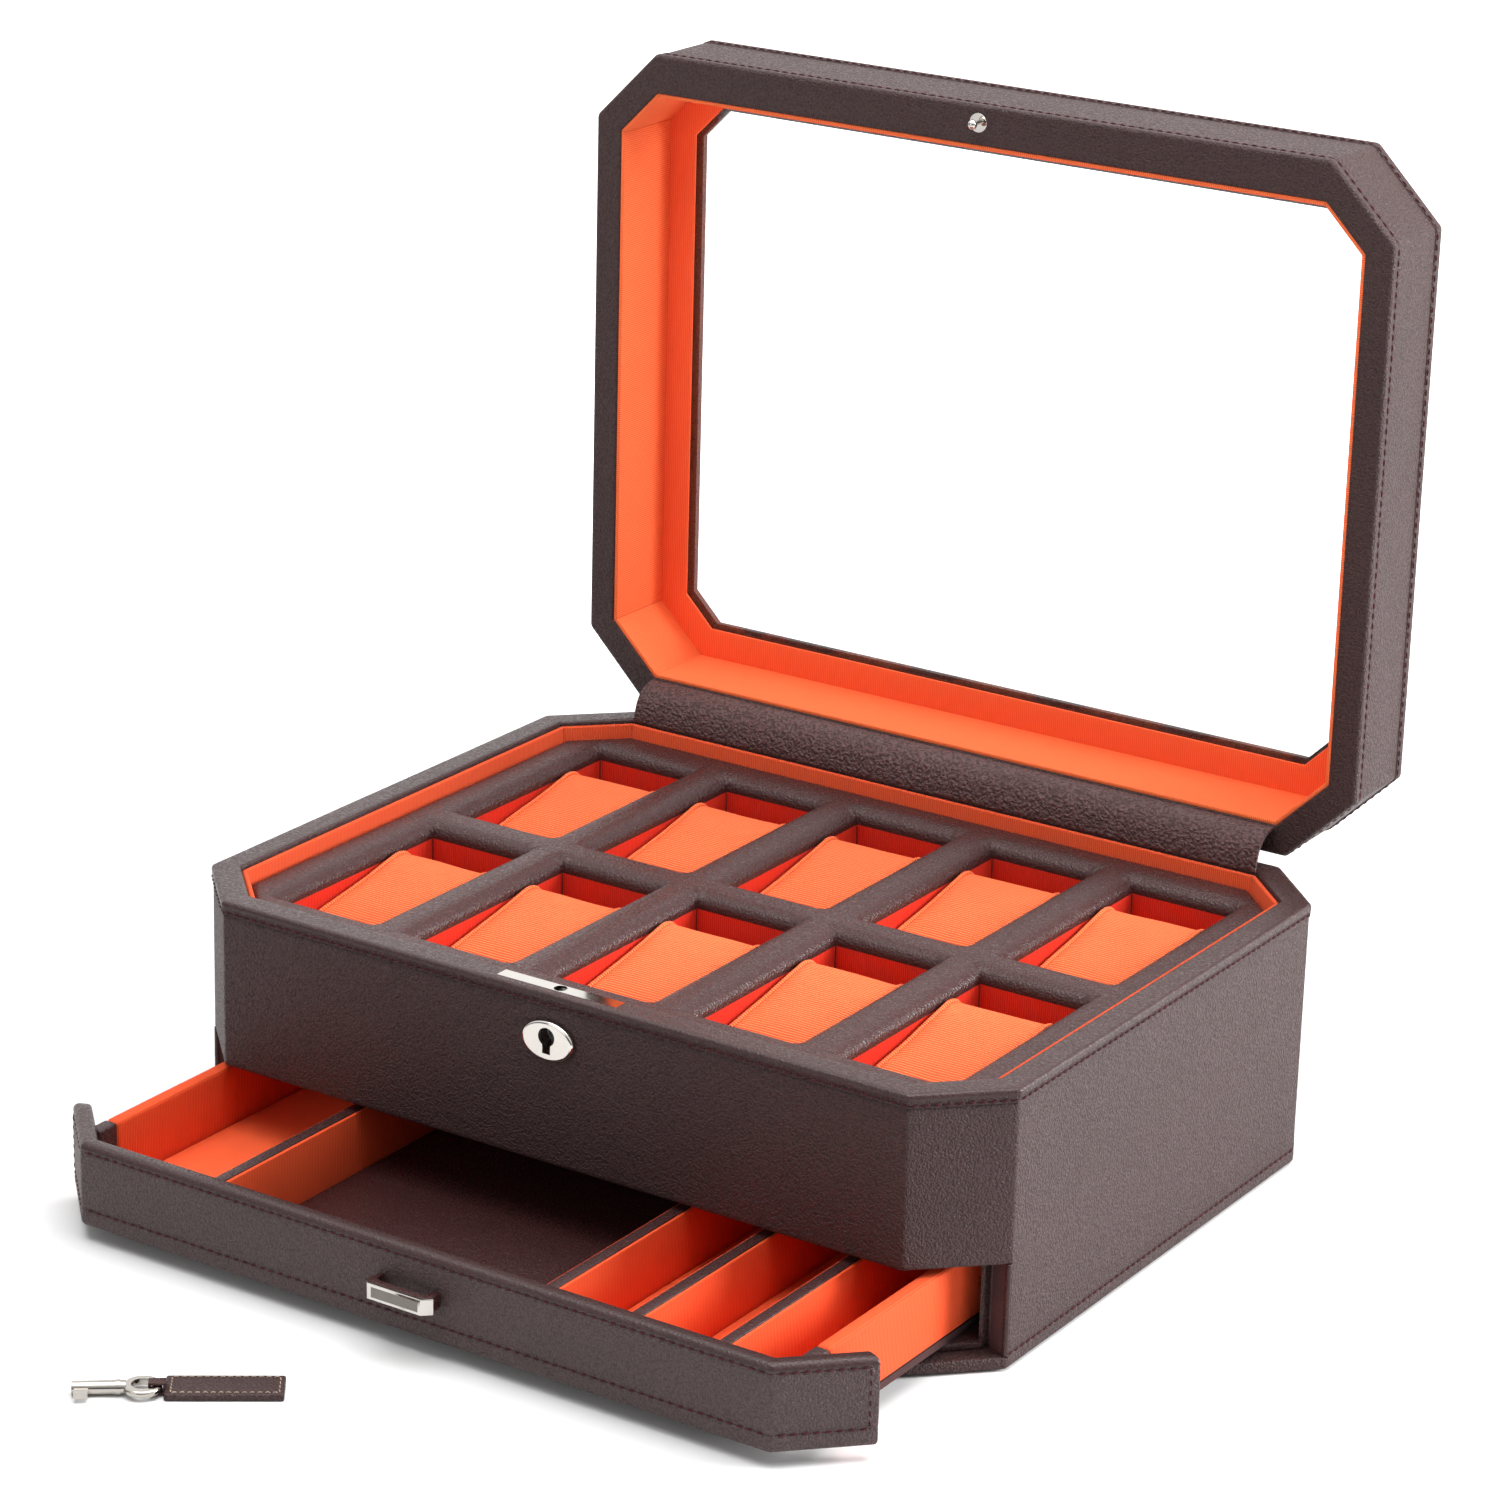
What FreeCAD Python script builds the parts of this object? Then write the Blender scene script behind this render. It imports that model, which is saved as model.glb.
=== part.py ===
"""Watch box with drawer: an eight-sided leather case, a glazed lid and a drawer.

All lengths are millimetres. X runs across the front, Y towards the back and Z up. The
origin is the middle of the footprint on the surface that the box stands on. The lid and
the drawer are drawn shut and then placed open: the lid stands upright on its hinges and
the drawer is pulled part of the way out.
"""

import FreeCAD, Part
import Sketcher
import math
import os
import re

from FreeCAD import Placement, Rotation, Vector

SIZES = [
    ("case_width", 330, "case, side to side"),
    ("case_depth", 253, "case, front to back"),
    ("case_height", 99.5, "floor to the rim of the case"),
    ("corner_cut", 26, "each leg of the cut-off corners"),
    ("wall", 10, "leather-covered boards of the case"),
    ("rim_round", 1.5, "rounding of the leather along the rim's outside"),
    ("rim_inner_round", 0.8, "rounding of the leather along the rim's inside"),
    ("felt_thickness", 0.8, "sheet under the base"),
    ("felt_inset", 6, "sheet's edge to the base's edge"),
    ("base_thickness", 4.2, "base board"),
    ("bay_opening", 33, "base board to the underside of the upper front"),
    ("bay_floor_thickness", 2.8, "floor sheet of the drawer bay"),
    ("bay_side_thickness", 1.2, "side sheets of the drawer bay"),
    ("bay_set_back", 7.2, "front of the case to the bay's lining"),
    ("jamb_thickness", 1, "suede facing on the ends of the side walls"),
    ("jamb_margin", 1.2, "side wall's edges to the facing"),
    ("deck_thickness", 6, "shelf between the drawer bay and the watch tray"),
    ("liner_gap", 0.5, "wall to the orange liner"),
    ("liner_thickness", 1.8, "orange liner"),
    ("liner_drop", 1.3, "rim to the top of the liner"),
    ("tray_gap", 0.3, "liner to the watch tray"),
    ("tray_drop", 5.5, "rim to the top of the tray"),
    ("cap_thickness", 6, "padded grid on the tray's boards"),
    ("cap_round", 5, "rounding of the padded bars"),
    ("cap_edge_round", 3, "rounding along the padded grid's outside"),
    ("cap_corner", 2.5, "plan rounding of the grid's windows"),
    ("cell_width", 41, "cell, side to side"),
    ("cell_length", 88, "cell, front to back"),
    ("bar_width", 17, "bar between two columns"),
    ("centre_bar", 18, "bar between the two rows"),
    ("cushion_side_gap", 0.9, "cell wall to the cushion's side"),
    ("cushion_lift", 0.5, "shelf to the cushion"),
    ("cushion_front_reach", 34, "cell's middle to the cushion's front"),
    ("cushion_back_reach", 26, "cell's middle to the cushion's back"),
    ("cushion_ridge_reach", 19, "cell's middle to the ridge"),
    ("cushion_front_height", 38, "cushion's height at its front"),
    ("cushion_ridge_height", 48.4, "cushion's height at its ridge"),
    ("cushion_crown", 1.2, "rise of the cushion's middle over its ends"),
    ("cushion_tuck", 2.6, "how far the end faces are drawn in"),
    ("lid_height", 38.4, "mating face of the lid to its top"),
    ("lid_gap", 0.3, "rim to the lid's mating face"),
    ("lid_wall", 11, "lid's side boards"),
    ("lid_front_extra", 3.6, "how much thicker the lid's front board is"),
    ("lid_angle", 90, "how far the lid stands open"),
    ("lid_border_thickness", 6.2, "board round the window"),
    ("lid_border_width", 25.4, "lid's edge to the window"),
    ("lid_top_round", 2.5, "rounding round the lid's top"),
    ("lid_liner_thickness", 1.5, "orange liner of the lid"),
    ("lid_liner_drop", 0.6, "lid's mating face to its liner"),
    ("ledge_width", 24, "lid's edge to the inner edge of the orange ledge"),
    ("ledge_thickness", 1.2, "orange ledge that holds the glass"),
    ("glass_thickness", 2, "glass pane"),
    ("glass_inset", 21.8, "lid's edge to the glass"),
    ("glass_gap", 0.2, "play round the glass in its rebate"),
    ("hinge_stand_off", 2.4, "back of the case to the hinge axis"),
    ("hinge_spacing", 170, "between the middles of the two hinges"),
    ("hinge_length", 48, "each hinge"),
    ("hinge_leaf_thickness", 1, "each leaf"),
    ("hinge_leaf_reach", 9.9, "hinge axis to the leaf's inner edge"),
    ("hinge_barrel_radius", 2.3, "knuckles"),
    ("hinge_middle_knuckle", 15.8, "the lid's knuckle"),
    ("hinge_play", 0.3, "between knuckles, and round the leaves"),
    ("hinge_face_gap", 0.1, "rim's plane to each leaf"),
    ("hinge_pin_radius", 1, "hinge pin"),
    ("hinge_pin_clearance", 0.05, "pin to the lid's knuckle"),
    ("strip_thickness", 1.2, "leather strip over the hinges"),
    ("strip_reach", 12, "how far the strip runs back to the open lid"),
    ("strip_rise", 13, "how far the strip runs up to the open lid"),
    ("drawer_open", 75.8, "how far the drawer is pulled out"),
    ("front_thickness", 6.4, "drawer front"),
    ("front_bottom_gap", 0.5, "base board to the drawer front"),
    ("front_top_gap", 2, "drawer front to the upper front"),
    ("front_end_gap", 1.5, "side wall's end to the drawer front's wing"),
    ("front_round", 2, "rounding of the drawer front's long edges"),
    ("drawer_run", 0.3, "bay floor to the drawer"),
    ("drawer_half_width", 146.5, "middle to the drawer's side"),
    ("drawer_side", 5.5, "drawer's sides and back"),
    ("drawer_bottom_thickness", 2.5, "drawer's bottom"),
    ("drawer_wall_top_gap", 3, "drawer's walls to the shelf above"),
    ("drawer_back_gap", 14.5, "drawer's back to the case's back wall, clear of its corners"),
    ("drawer_corner_gap", 1, "drawer's rear corners to the wall's cut-off corners"),
    ("corner_block", 15.6, "leather block behind the front, front to back"),
    ("guide_height", 6, "guide strips beside the drawer"),
    ("guide_length", 170, "guide strips, front to back"),
    ("guide_clearance", 0.5, "drawer's side to the guide"),
    ("divider_thickness", 6, "drawer dividers"),
    ("divider_drop", 0.5, "drawer's walls to the dividers"),
    ("cap_strip_width", 4.2, "leather strip on each divider"),
    ("cap_strip_thickness", 0.6, "leather strip on each divider"),
    ("left_compartment", 53.7, "leftmost compartment"),
    ("right_compartment", 27, "two compartments on the right"),
    ("end_compartment", 20.7, "rightmost compartment"),
    ("pad_thickness", 2.4, "lining pads on the drawer's bottom"),
    ("pad_gap", 0.3, "pads to the walls"),
    ("pull_height", 5.6, "leather pull"),
    ("pull_level", 21.5, "middle of the pull over the floor"),
    ("pull_half_root", 12.3, "half the pull where it leaves the front"),
    ("pull_half_width", 13.3, "half the pull at its shoulders"),
    ("pull_half_face", 10.5, "half the pull's flat face"),
    ("pull_projection", 7.6, "drawer front to the pull's face"),
    ("pull_shoulder", 4.9, "drawer front to the pull's shoulders"),
    ("pull_leather", 2.5, "thickness of the pull's leather"),
    ("pull_plate_thickness", 0.8, "bright plate on the pull"),
    ("lock_reach", 6.4, "front of the case to the catch"),
    ("plate_length", 48.4, "lock's face plate"),
    ("plate_width", 5.2, "lock's face plate"),
    ("plate_thickness", 1, "lock's face plate"),
    ("plate_hole_radius", 2.3, "hole for the catch stud"),
    ("lock_length", 36, "lock case"),
    ("lock_height", 25, "lock case"),
    ("lock_skin", 0.6, "walls of the lock case"),
    ("lock_play", 0.2, "round the lock case in its mortise"),
    ("key_level", 84.6, "keyhole's round part over the floor"),
    ("keyhole_radius", 3.3, "keyhole's round part"),
    ("keyhole_slot", 3.2, "keyhole's slot, side to side"),
    ("keyhole_drop", 6, "middle of the round part to the slot's end"),
    ("escutcheon_width", 20.8, "oval plate round the keyhole"),
    ("escutcheon_height", 14.4, "oval plate round the keyhole"),
    ("escutcheon_thickness", 1.5, "oval plate round the keyhole"),
    ("escutcheon_drop", 1.7, "middle of the round part to the oval's middle"),
    ("cam_radius", 6, "disc that the key turns"),
    ("cam_thickness", 1.6, "disc that the key turns"),
    ("cam_pin_radius", 0.8, "pin that drives the bolt"),
    ("cam_pin_reach", 2.55, "disc's middle to the pin"),
    ("bolt_travel", 3.6, "how far the bolt slides"),
    ("bolt_thickness", 1, "bolt"),
    ("bolt_reach", 14, "stud to the far end of the bolt's fork"),
    ("bolt_leg_reach", 9, "stud to the far side of the bolt's leg"),
    ("stud_flange_radius", 3.5, "catch stud"),
    ("stud_flange_thickness", 0.9, "catch stud"),
    ("stud_neck_radius", 0.9, "catch stud"),
    ("stud_ball_radius", 1.8, "catch stud"),
    ("stud_ball_drop", 4, "lid's mating face to the ball's middle"),
    ("key_shaft_radius", 2.3, "key"),
    ("key_shaft_length", 17, "key"),
    ("key_barrel_radius", 1.1, "hole in the key's tip"),
    ("key_bow_radius", 6.3, "ring of the key"),
    ("key_bow_hole", 3.6, "ring of the key"),
    ("key_bow_thickness", 2.4, "ring of the key"),
    ("key_barrel_depth", 8, "hole in the key's tip"),
    ("key_bit_length", 4.5, "key's bit, along the shaft"),
    ("key_bit_reach", 6, "key's bit, middle of the shaft to its edge"),
    ("key_bit_thickness", 1.8, "key's bit"),
    ("key_bit_start", 0.8, "key's tip to its bit"),
    ("key_collar_length", 1.6, "collar between the shaft and the ring"),
    ("tag_length", 38, "leather tag"),
    ("tag_width", 14, "leather tag"),
    ("tag_thickness", 2.5, "leather tag"),
    ("thong_width", 4, "thong between the key and the tag"),
    ("thong_thickness", 0.9, "thong between the key and the tag"),
    ("thong_play", 0.15, "ring of the key to the thong"),
    ("tag_corner", 1.2, "plan rounding of the tag"),
    ("key_tip_x", -67, "where the key's tip lies"),
    ("key_tip_y", -290.3, "where the key's tip lies"),
    ("key_turn", 38, "direction of the key on the floor, in degrees"),
    ("tag_turn", 2, "how much less the tag is turned than the key, in degrees"),
    ("tag_shift", 1.4, "how far the tag lies to the side of the key's line"),
]

document = FreeCAD.newDocument("watch_box")
sheet = document.addObject("Spreadsheet::Sheet", "sizes")
for row, (alias, value, meaning) in enumerate(SIZES, 1):
    sheet.set(f"A{row}", meaning)
    sheet.set(f"B{row}", str(value))
    sheet.setAlias(f"B{row}", alias)
document.recompute()

ALIAS = re.compile(r"\b(" + "|".join(alias for alias, _, _ in SIZES) + r")\b")

# Places that several pieces share.
HALF_WIDTH = "(case_width / 2)"
HALF_DEPTH = "(case_depth / 2)"
BASE_TOP = "(felt_thickness + base_thickness)"
BAY_FLOOR_TOP = f"({BASE_TOP} + bay_floor_thickness)"
BAY_TOP = f"({BASE_TOP} + bay_opening)"
DECK_TOP = f"({BAY_TOP} + deck_thickness)"
BOARD_TOP = "(case_height - tray_drop - cap_thickness)"
LINER_INSET = "(wall + liner_gap)"
TRAY_INSET = f"({LINER_INSET} + liner_thickness + tray_gap)"
GRID_X = "(2.5 * cell_width + 2 * bar_width)"
GRID_Y = "(cell_length + centre_bar / 2)"
LID_BASE = "(case_height + lid_gap)"
LID_TOP = f"({LID_BASE} + lid_height)"
LID_SHOULDER = f"({LID_TOP} - lid_border_thickness)"
HINGE_Y = f"({HALF_DEPTH} + hinge_stand_off)"
FRONT_BOTTOM = f"({BASE_TOP} + front_bottom_gap)"
FRONT_TOP = f"({BAY_TOP} - front_top_gap)"
FRONT_BACK = f"(front_thickness - {HALF_DEPTH})"
DRAWER_BOTTOM = f"({BAY_FLOOR_TOP} + drawer_run)"
DRAWER_FLOOR = f"({DRAWER_BOTTOM} + drawer_bottom_thickness)"
DRAWER_WALL_TOP = f"({BAY_TOP} - drawer_wall_top_gap)"
CORNER_REACH = f"({HALF_WIDTH} + {HALF_DEPTH} - corner_cut - sqrt(2) * wall)"
DRAWER_BACK = (
    f"min({HALF_DEPTH} - wall - drawer_back_gap; "
    f"{CORNER_REACH} - drawer_half_width - drawer_corner_gap)"
)
DRAWER_INNER = "(drawer_half_width - drawer_side)"
DIVIDER_TOP = f"({DRAWER_WALL_TOP} - divider_drop)"
LOCK_Y = f"(lock_reach - {HALF_DEPTH})"
LOCK_NEAR = f"({LOCK_Y} - plate_width / 2)"
LOCK_FAR = f"({LOCK_Y} + plate_width / 2)"
PLATE_BOTTOM = "(case_height - plate_thickness)"


def bound(text):
    """The same formula with every size read from the sheet."""
    return ALIAS.sub(r"sizes.\1", text)


def number(text):
    """The present value of a formula, in millimetres or degrees."""
    return float(sheet.evalExpression(bound(text)))


def octagon(inset):
    """The case's outline moved inwards, from the left front corner round by the right."""
    x = f"({HALF_WIDTH} - {inset})"
    y = f"({HALF_DEPTH} - {inset})"
    leg = f"(corner_cut - {inset} * (2 - sqrt(2)))"
    return [
        (f"-{x}", f"{leg} - {y}"),
        (f"{leg} - {x}", f"-{y}"),
        (f"{x} - {leg}", f"-{y}"),
        (x, f"{leg} - {y}"),
        (x, f"{y} - {leg}"),
        (f"{x} - {leg}", y),
        (f"{leg} - {x}", y),
        (f"-{x}", f"{y} - {leg}"),
    ]


def rectangle(left, right, front, back):
    return [(left, front), (right, front), (right, back), (left, back)]


def towards_front(point, distance, side):
    """A corner of the side wall's mitre moved along the cut-off corner by a gap."""
    step = f"{distance} / (sqrt(2) * cos(22.5))"
    x, y = point
    sign = "-" if side == "right" else "+"
    return (f"{x} {sign} {step}", f"{y} - {step}")


def new_body(name):
    body = document.addObject("PartDesign::Body", name)
    body.Label = name
    return body


def draw(body, plane, level, loops):
    """A sketch on one of the body's origin planes, moved along the plane's normal."""
    sketch = body.newObject("Sketcher::SketchObject", f"{body.Name}_outline")
    origin_plane = next(item for item in body.Origin.OriginFeatures if item.Role == plane)
    sketch.AttachmentSupport = [(origin_plane, "")]
    sketch.MapMode = "FlatFace"
    sketch.setExpression("AttachmentOffset.Base.z", bound(level))
    for loop in loops:
        if loop[0] == "circle":
            draw_circle(sketch, *loop[1:])
        else:
            draw_polygon(sketch, loop)
    return sketch


def draw_polygon(sketch, points):
    first = sketch.GeometryCount
    corners = [Vector(number(x), number(y), 0) for x, y in points]
    following = corners[1:] + corners[:1]
    sketch.addGeometry([Part.LineSegment(a, b) for a, b in zip(corners, following)], False)
    count = len(points)
    for index in range(count):
        here = first + index
        after = first + (index + 1) % count
        sketch.addConstraint(Sketcher.Constraint("Coincident", here, 2, after, 1))
    for index, (x, y) in enumerate(points):
        place(sketch, first + index, 1, corners[index], x, y)


def draw_circle(sketch, x, y, radius):
    centre = Vector(number(x), number(y), 0)
    index = sketch.addGeometry(Part.Circle(centre, Vector(0, 0, 1), number(radius)), False)
    place(sketch, index, 3, centre, x, y)
    sketch.addConstraint(Sketcher.Constraint("Radius", index, number(radius)))
    sketch.setExpression(f"Constraints[{sketch.ConstraintCount - 1}]", bound(radius))


def place(sketch, geometry, vertex, point, x, y):
    """Ties a point of the sketch to two formulas."""
    for kind, value, text in (("DistanceX", point.x, x), ("DistanceY", point.y, y)):
        sketch.addConstraint(Sketcher.Constraint(kind, -1, 1, geometry, vertex, value))
        sketch.setExpression(f"Constraints[{sketch.ConstraintCount - 1}]", bound(text))


def add(body, plane, low, high, *loops):
    """Material between two levels: of z on XY, of y on XZ and of x on YZ."""
    level = f"-({high})" if plane == "XZ_Plane" else low
    pad = body.newObject("PartDesign::Pad", f"{body.Name}_pad")
    pad.Profile = draw(body, plane, level, loops)
    pad.setExpression("Length", bound(f"{high} - ({low})"))
    document.recompute()
    return pad


def cut(body, plane, low, high, *loops):
    """Takes material away between two levels, and makes sure that it did."""
    before = body.Shape.Volume
    level = f"-({low})" if plane == "XZ_Plane" else high
    pocket = body.newObject("PartDesign::Pocket", f"{body.Name}_pocket")
    pocket.Profile = draw(body, plane, level, loops)
    pocket.setExpression("Length", bound(f"{high} - ({low})"))
    document.recompute()
    if body.Shape.Volume > before - 1e-3:
        raise RuntimeError(f"a pocket of {body.Name} cuts nothing")
    return pocket


def prism(name, plane, low, high, *loops):
    body = new_body(name)
    add(body, plane, low, high, *loops)
    return body


def round_edges(body, radius, wanted):
    """A fillet on the edges that the test picks."""
    tip = body.Tip
    names = [f"Edge{i}" for i, edge in enumerate(tip.Shape.Edges, 1) if wanted(edge)]
    fillet = body.newObject("PartDesign::Fillet", f"{body.Name}_round")
    fillet.Base = (tip, names)
    fillet.setExpression("Radius", bound(radius))
    document.recompute()
    return fillet


def at_level(edge, level):
    return all(abs(vertex.Z - number(level)) < 1e-4 for vertex in edge.Vertexes)


def along_outline(edge):
    """True for a level edge that runs with the outline, not across a mitre."""
    start, end = edge.Vertexes[0].Point, edge.Vertexes[-1].Point
    turns = math.degrees(math.atan2(end.y - start.y, end.x - start.x)) / 45
    return abs(turns - round(turns)) < 0.01


def inset_of(edge):
    """How far inside the case's outline an edge runs."""
    middle = edge.CenterOfMass
    corner_sum = number(f"{HALF_WIDTH} + {HALF_DEPTH} - corner_cut")
    over_side = abs(middle.x) - number(HALF_WIDTH)
    over_end = abs(middle.y) - number(HALF_DEPTH)
    over_corner = (abs(middle.x) + abs(middle.y) - corner_sum) / math.sqrt(2)
    return -max(over_side, over_end, over_corner)


def is_upright(edge):
    start, end = edge.Vertexes[0].Point, edge.Vertexes[-1].Point
    return abs(end.x - start.x) + abs(end.y - start.y) < 1e-4


def solid(name, shape):
    """A piece whose form is worked out directly."""
    feature = document.addObject("Part::Feature", name)
    feature.Label = name
    feature.Shape = shape
    return feature


def rounded_wire(points, radii):
    """A closed wire of straight runs joined by arcs that touch both."""
    edges = []
    starts = []
    ends = []
    count = len(points)
    for index, corner in enumerate(points):
        before = (points[index - 1] - corner).normalize()
        after = (points[(index + 1) % count] - corner).normalize()
        half = before.getAngle(after) / 2
        reach = radii[index] / math.tan(half)
        start = corner + before * reach
        end = corner + after * reach
        bisector = (before + after).normalize()
        middle = corner + bisector * (radii[index] / math.sin(half) - radii[index])
        starts.append((start, middle, end))
        ends.append(end)
    for index, (start, middle, end) in enumerate(starts):
        edges.append(Part.Arc(start, middle, end).toShape())
        edges.append(Part.LineSegment(end, starts[(index + 1) % count][0]).toShape())
    return Part.Wire(edges)


OUTER = octagon("0")
INNER = octagon("wall")


def base_parts():
    prism("base_felt", "XY_Plane", "0", "felt_thickness", octagon("felt_inset"))
    base_outline = OUTER[0:4] + [INNER[3], INNER[4], INNER[5], INNER[6], INNER[7], INNER[0]]
    prism("base_board", "XY_Plane", "felt_thickness", BASE_TOP, base_outline)


def bay_parts():
    """The lining of the drawer bay, its guides and the facings beside its mouth."""
    front = octagon("bay_set_back")
    side = f"({HALF_WIDTH} - wall)"
    inner = f"({side} - bay_side_thickness)"
    slant = f"({HALF_WIDTH} + {HALF_DEPTH} - corner_cut - sqrt(2) * bay_set_back)"
    floor = [
        (f"-{side}", f"{side} - {slant}"),
        front[1],
        front[2],
        (side, f"{side} - {slant}"),
        INNER[4],
        INNER[5],
        INNER[6],
        INNER[7],
    ]
    liner = prism("bay_liner", "XY_Plane", BASE_TOP, BAY_FLOOR_TOP, floor)
    back = INNER[4][1]
    right = [
        (inner, f"{inner} - {slant}"),
        (side, f"{side} - {slant}"),
        (side, back),
        (inner, back),
    ]
    left = [(f"-({x})", y) for x, y in reversed(right)]
    add(liner, "XY_Plane", BAY_FLOOR_TOP, BAY_TOP, right, left)
    guide_inner = "(drawer_half_width + guide_clearance)"
    guide_back = f"min({DRAWER_BACK} - drawer_side; {CORNER_REACH} - {inner})"
    guides = rectangle(guide_inner, inner, f"{guide_back} - guide_length", guide_back)
    mirrored = [(f"-({x})", y) for x, y in reversed(guides)]
    guide_top = f"{BAY_FLOOR_TOP} + guide_height"
    prism("drawer_guides", "XY_Plane", BAY_FLOOR_TOP, guide_top, guides, mirrored)
    outer_end = octagon("jamb_margin")
    inner_end = octagon("(wall - jamb_margin)")
    jambs = []
    for corner, hand in ((3, "right"), (0, "left")):
        near, far = outer_end[corner], inner_end[corner]
        shifted = [towards_front(point, "jamb_thickness", hand) for point in (far, near)]
        jambs.append([near, far] + shifted)
    prism("bay_jambs", "XY_Plane", BASE_TOP, BAY_TOP, *jambs)


def round_rim(wall_body, level, width):
    """A large round along the outside of a rim and a small one along its inside."""
    middle = number(width) / 2

    def outside(edge):
        return at_level(edge, level) and along_outline(edge) and inset_of(edge) < middle

    def inside(edge):
        return at_level(edge, level) and along_outline(edge) and inset_of(edge) > middle

    round_edges(wall_body, "rim_round", outside)
    round_edges(wall_body, "rim_inner_round", inside)


def case_walls():
    """Four mitred boards: the front and the back carry the cut-off corners."""
    bottom = "felt_thickness"
    right = [OUTER[3], OUTER[4], INNER[4], INNER[3]]
    left = [OUTER[7], OUTER[0], INNER[0], INNER[7]]
    walls = [
        prism("right_wall", "XY_Plane", bottom, "case_height", right),
        prism("left_wall", "XY_Plane", bottom, "case_height", left),
    ]
    back = OUTER[4:8] + [INNER[7], INNER[6], INNER[5], INNER[4]]
    rear = prism("rear_wall", "XY_Plane", bottom, "case_height", back)
    front = OUTER[0:4] + [INNER[3], INNER[2], INNER[1], INNER[0]]
    panel = prism("front_panel", "XY_Plane", BAY_TOP, "case_height", front)
    for wall_body in walls + [rear, panel]:
        round_rim(wall_body, "case_height", "wall")
    leaf_under = "(case_height - hinge_face_gap - hinge_leaf_thickness)"
    cut(rear, "XY_Plane", leaf_under, "case_height", *hinge_mortises())
    cut_lock_mortise(panel)


def hinge_mortises():
    half = "(hinge_length / 2 + hinge_play)"
    front = f"{HINGE_Y} - hinge_leaf_reach - hinge_play"
    outlines = []
    for side in ("-", ""):
        middle = f"{side}hinge_spacing / 2"
        outlines.append(
            rectangle(f"{middle} - {half}", f"{middle} + {half}", front, HALF_DEPTH)
        )
    return outlines


def cut_lock_mortise(panel):
    """A well for the lock case, a recess for its face plate and a hole for the key."""
    near = f"({LOCK_NEAR} - lock_play / 2)"
    far = f"({LOCK_FAR} + lock_play / 2)"
    half_plate = "(plate_length / 2 + lock_play / 2)"
    recess = rectangle(f"-{half_plate}", half_plate, near, far)
    cut(panel, "XY_Plane", PLATE_BOTTOM, "case_height", recess)
    half_lock = "(lock_length / 2 + lock_play)"
    well = rectangle(f"-{half_lock}", half_lock, near, far)
    cut(panel, "XY_Plane", f"{PLATE_BOTTOM} - lock_height - lock_play", PLATE_BOTTOM, well)
    cut_keyhole(panel, f"(-{HALF_DEPTH})", near)


def cut_keyhole(body, near, far):
    """A round hole with a slot below it, through the material between two depths."""
    cut(body, "XZ_Plane", near, far, ("circle", "0", "key_level", "keyhole_radius"))
    half = "(keyhole_slot / 2)"
    low = "key_level - keyhole_drop"
    cut(body, "XZ_Plane", near, far, rectangle(f"-{half}", half, low, "key_level"))


def tray_parts():
    """The shelf, the orange liner, the crossed boards and the padded grid."""
    prism("tray_deck", "XY_Plane", BAY_TOP, DECK_TOP, INNER)
    liner_top = "(case_height - liner_drop)"
    liner_inner = octagon(f"({LINER_INSET} + liner_thickness)")
    prism("inner_liner", "XY_Plane", DECK_TOP, liner_top, octagon(LINER_INSET), liner_inner)
    outline = octagon(TRAY_INSET)
    near = f"-{HALF_DEPTH}"
    far = f"-{HALF_WIDTH}"
    levels = ("XY_Plane", DECK_TOP, BOARD_TOP)
    ends = prism("tray_end_rails", *levels, outline)
    cut(ends, *levels, rectangle(f"-{GRID_X}", GRID_X, near, HALF_DEPTH))
    before_grid = rectangle(far, HALF_WIDTH, near, f"-{GRID_Y}")
    behind_grid = rectangle(far, HALF_WIDTH, GRID_Y, HALF_DEPTH)
    cut(ends, *levels, before_grid, behind_grid)
    sides = prism("tray_side_rails", *levels, outline)
    cut(sides, *levels, rectangle(far, HALF_WIDTH, f"-{GRID_Y}", GRID_Y))
    tray_dividers()
    tray_cap(outline)


def cross_bar_left(index):
    """Left face of the bar after the given number of columns."""
    return f"({index} * cell_width + {index - 1} * bar_width - {GRID_X})"


def tray_dividers():
    """Boards that cross each other in half-depth slots."""
    middle = f"(({DECK_TOP} + {BOARD_TOP}) / 2)"
    half_bar = "(centre_bar / 2)"
    notched = [
        (f"-{GRID_Y}", DECK_TOP),
        (GRID_Y, DECK_TOP),
        (GRID_Y, BOARD_TOP),
        (half_bar, BOARD_TOP),
        (half_bar, middle),
        (f"-{half_bar}", middle),
        (f"-{half_bar}", BOARD_TOP),
        (f"-{GRID_Y}", BOARD_TOP),
    ]
    long_outline = [(GRID_X, BOARD_TOP), (f"-{GRID_X}", BOARD_TOP), (f"-{GRID_X}", DECK_TOP)]
    for index in range(1, 5):
        left = cross_bar_left(index)
        right = f"({left} + bar_width)"
        prism(f"tray_cross_divider_{index}", "YZ_Plane", left, right, notched)
        long_outline += [(left, DECK_TOP), (left, middle), (right, middle), (right, DECK_TOP)]
    long_outline.append((GRID_X, DECK_TOP))
    prism("tray_long_divider", "XZ_Plane", f"-{half_bar}", half_bar, long_outline)


def cell_left(column):
    return f"({column} * (cell_width + bar_width) - {GRID_X})"


def cell_middle(column, row):
    x = f"({cell_left(column)} + cell_width / 2)"
    y = f"({'-' if row == 'front' else ''}(cell_length + centre_bar) / 2)"
    return x, y


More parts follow.
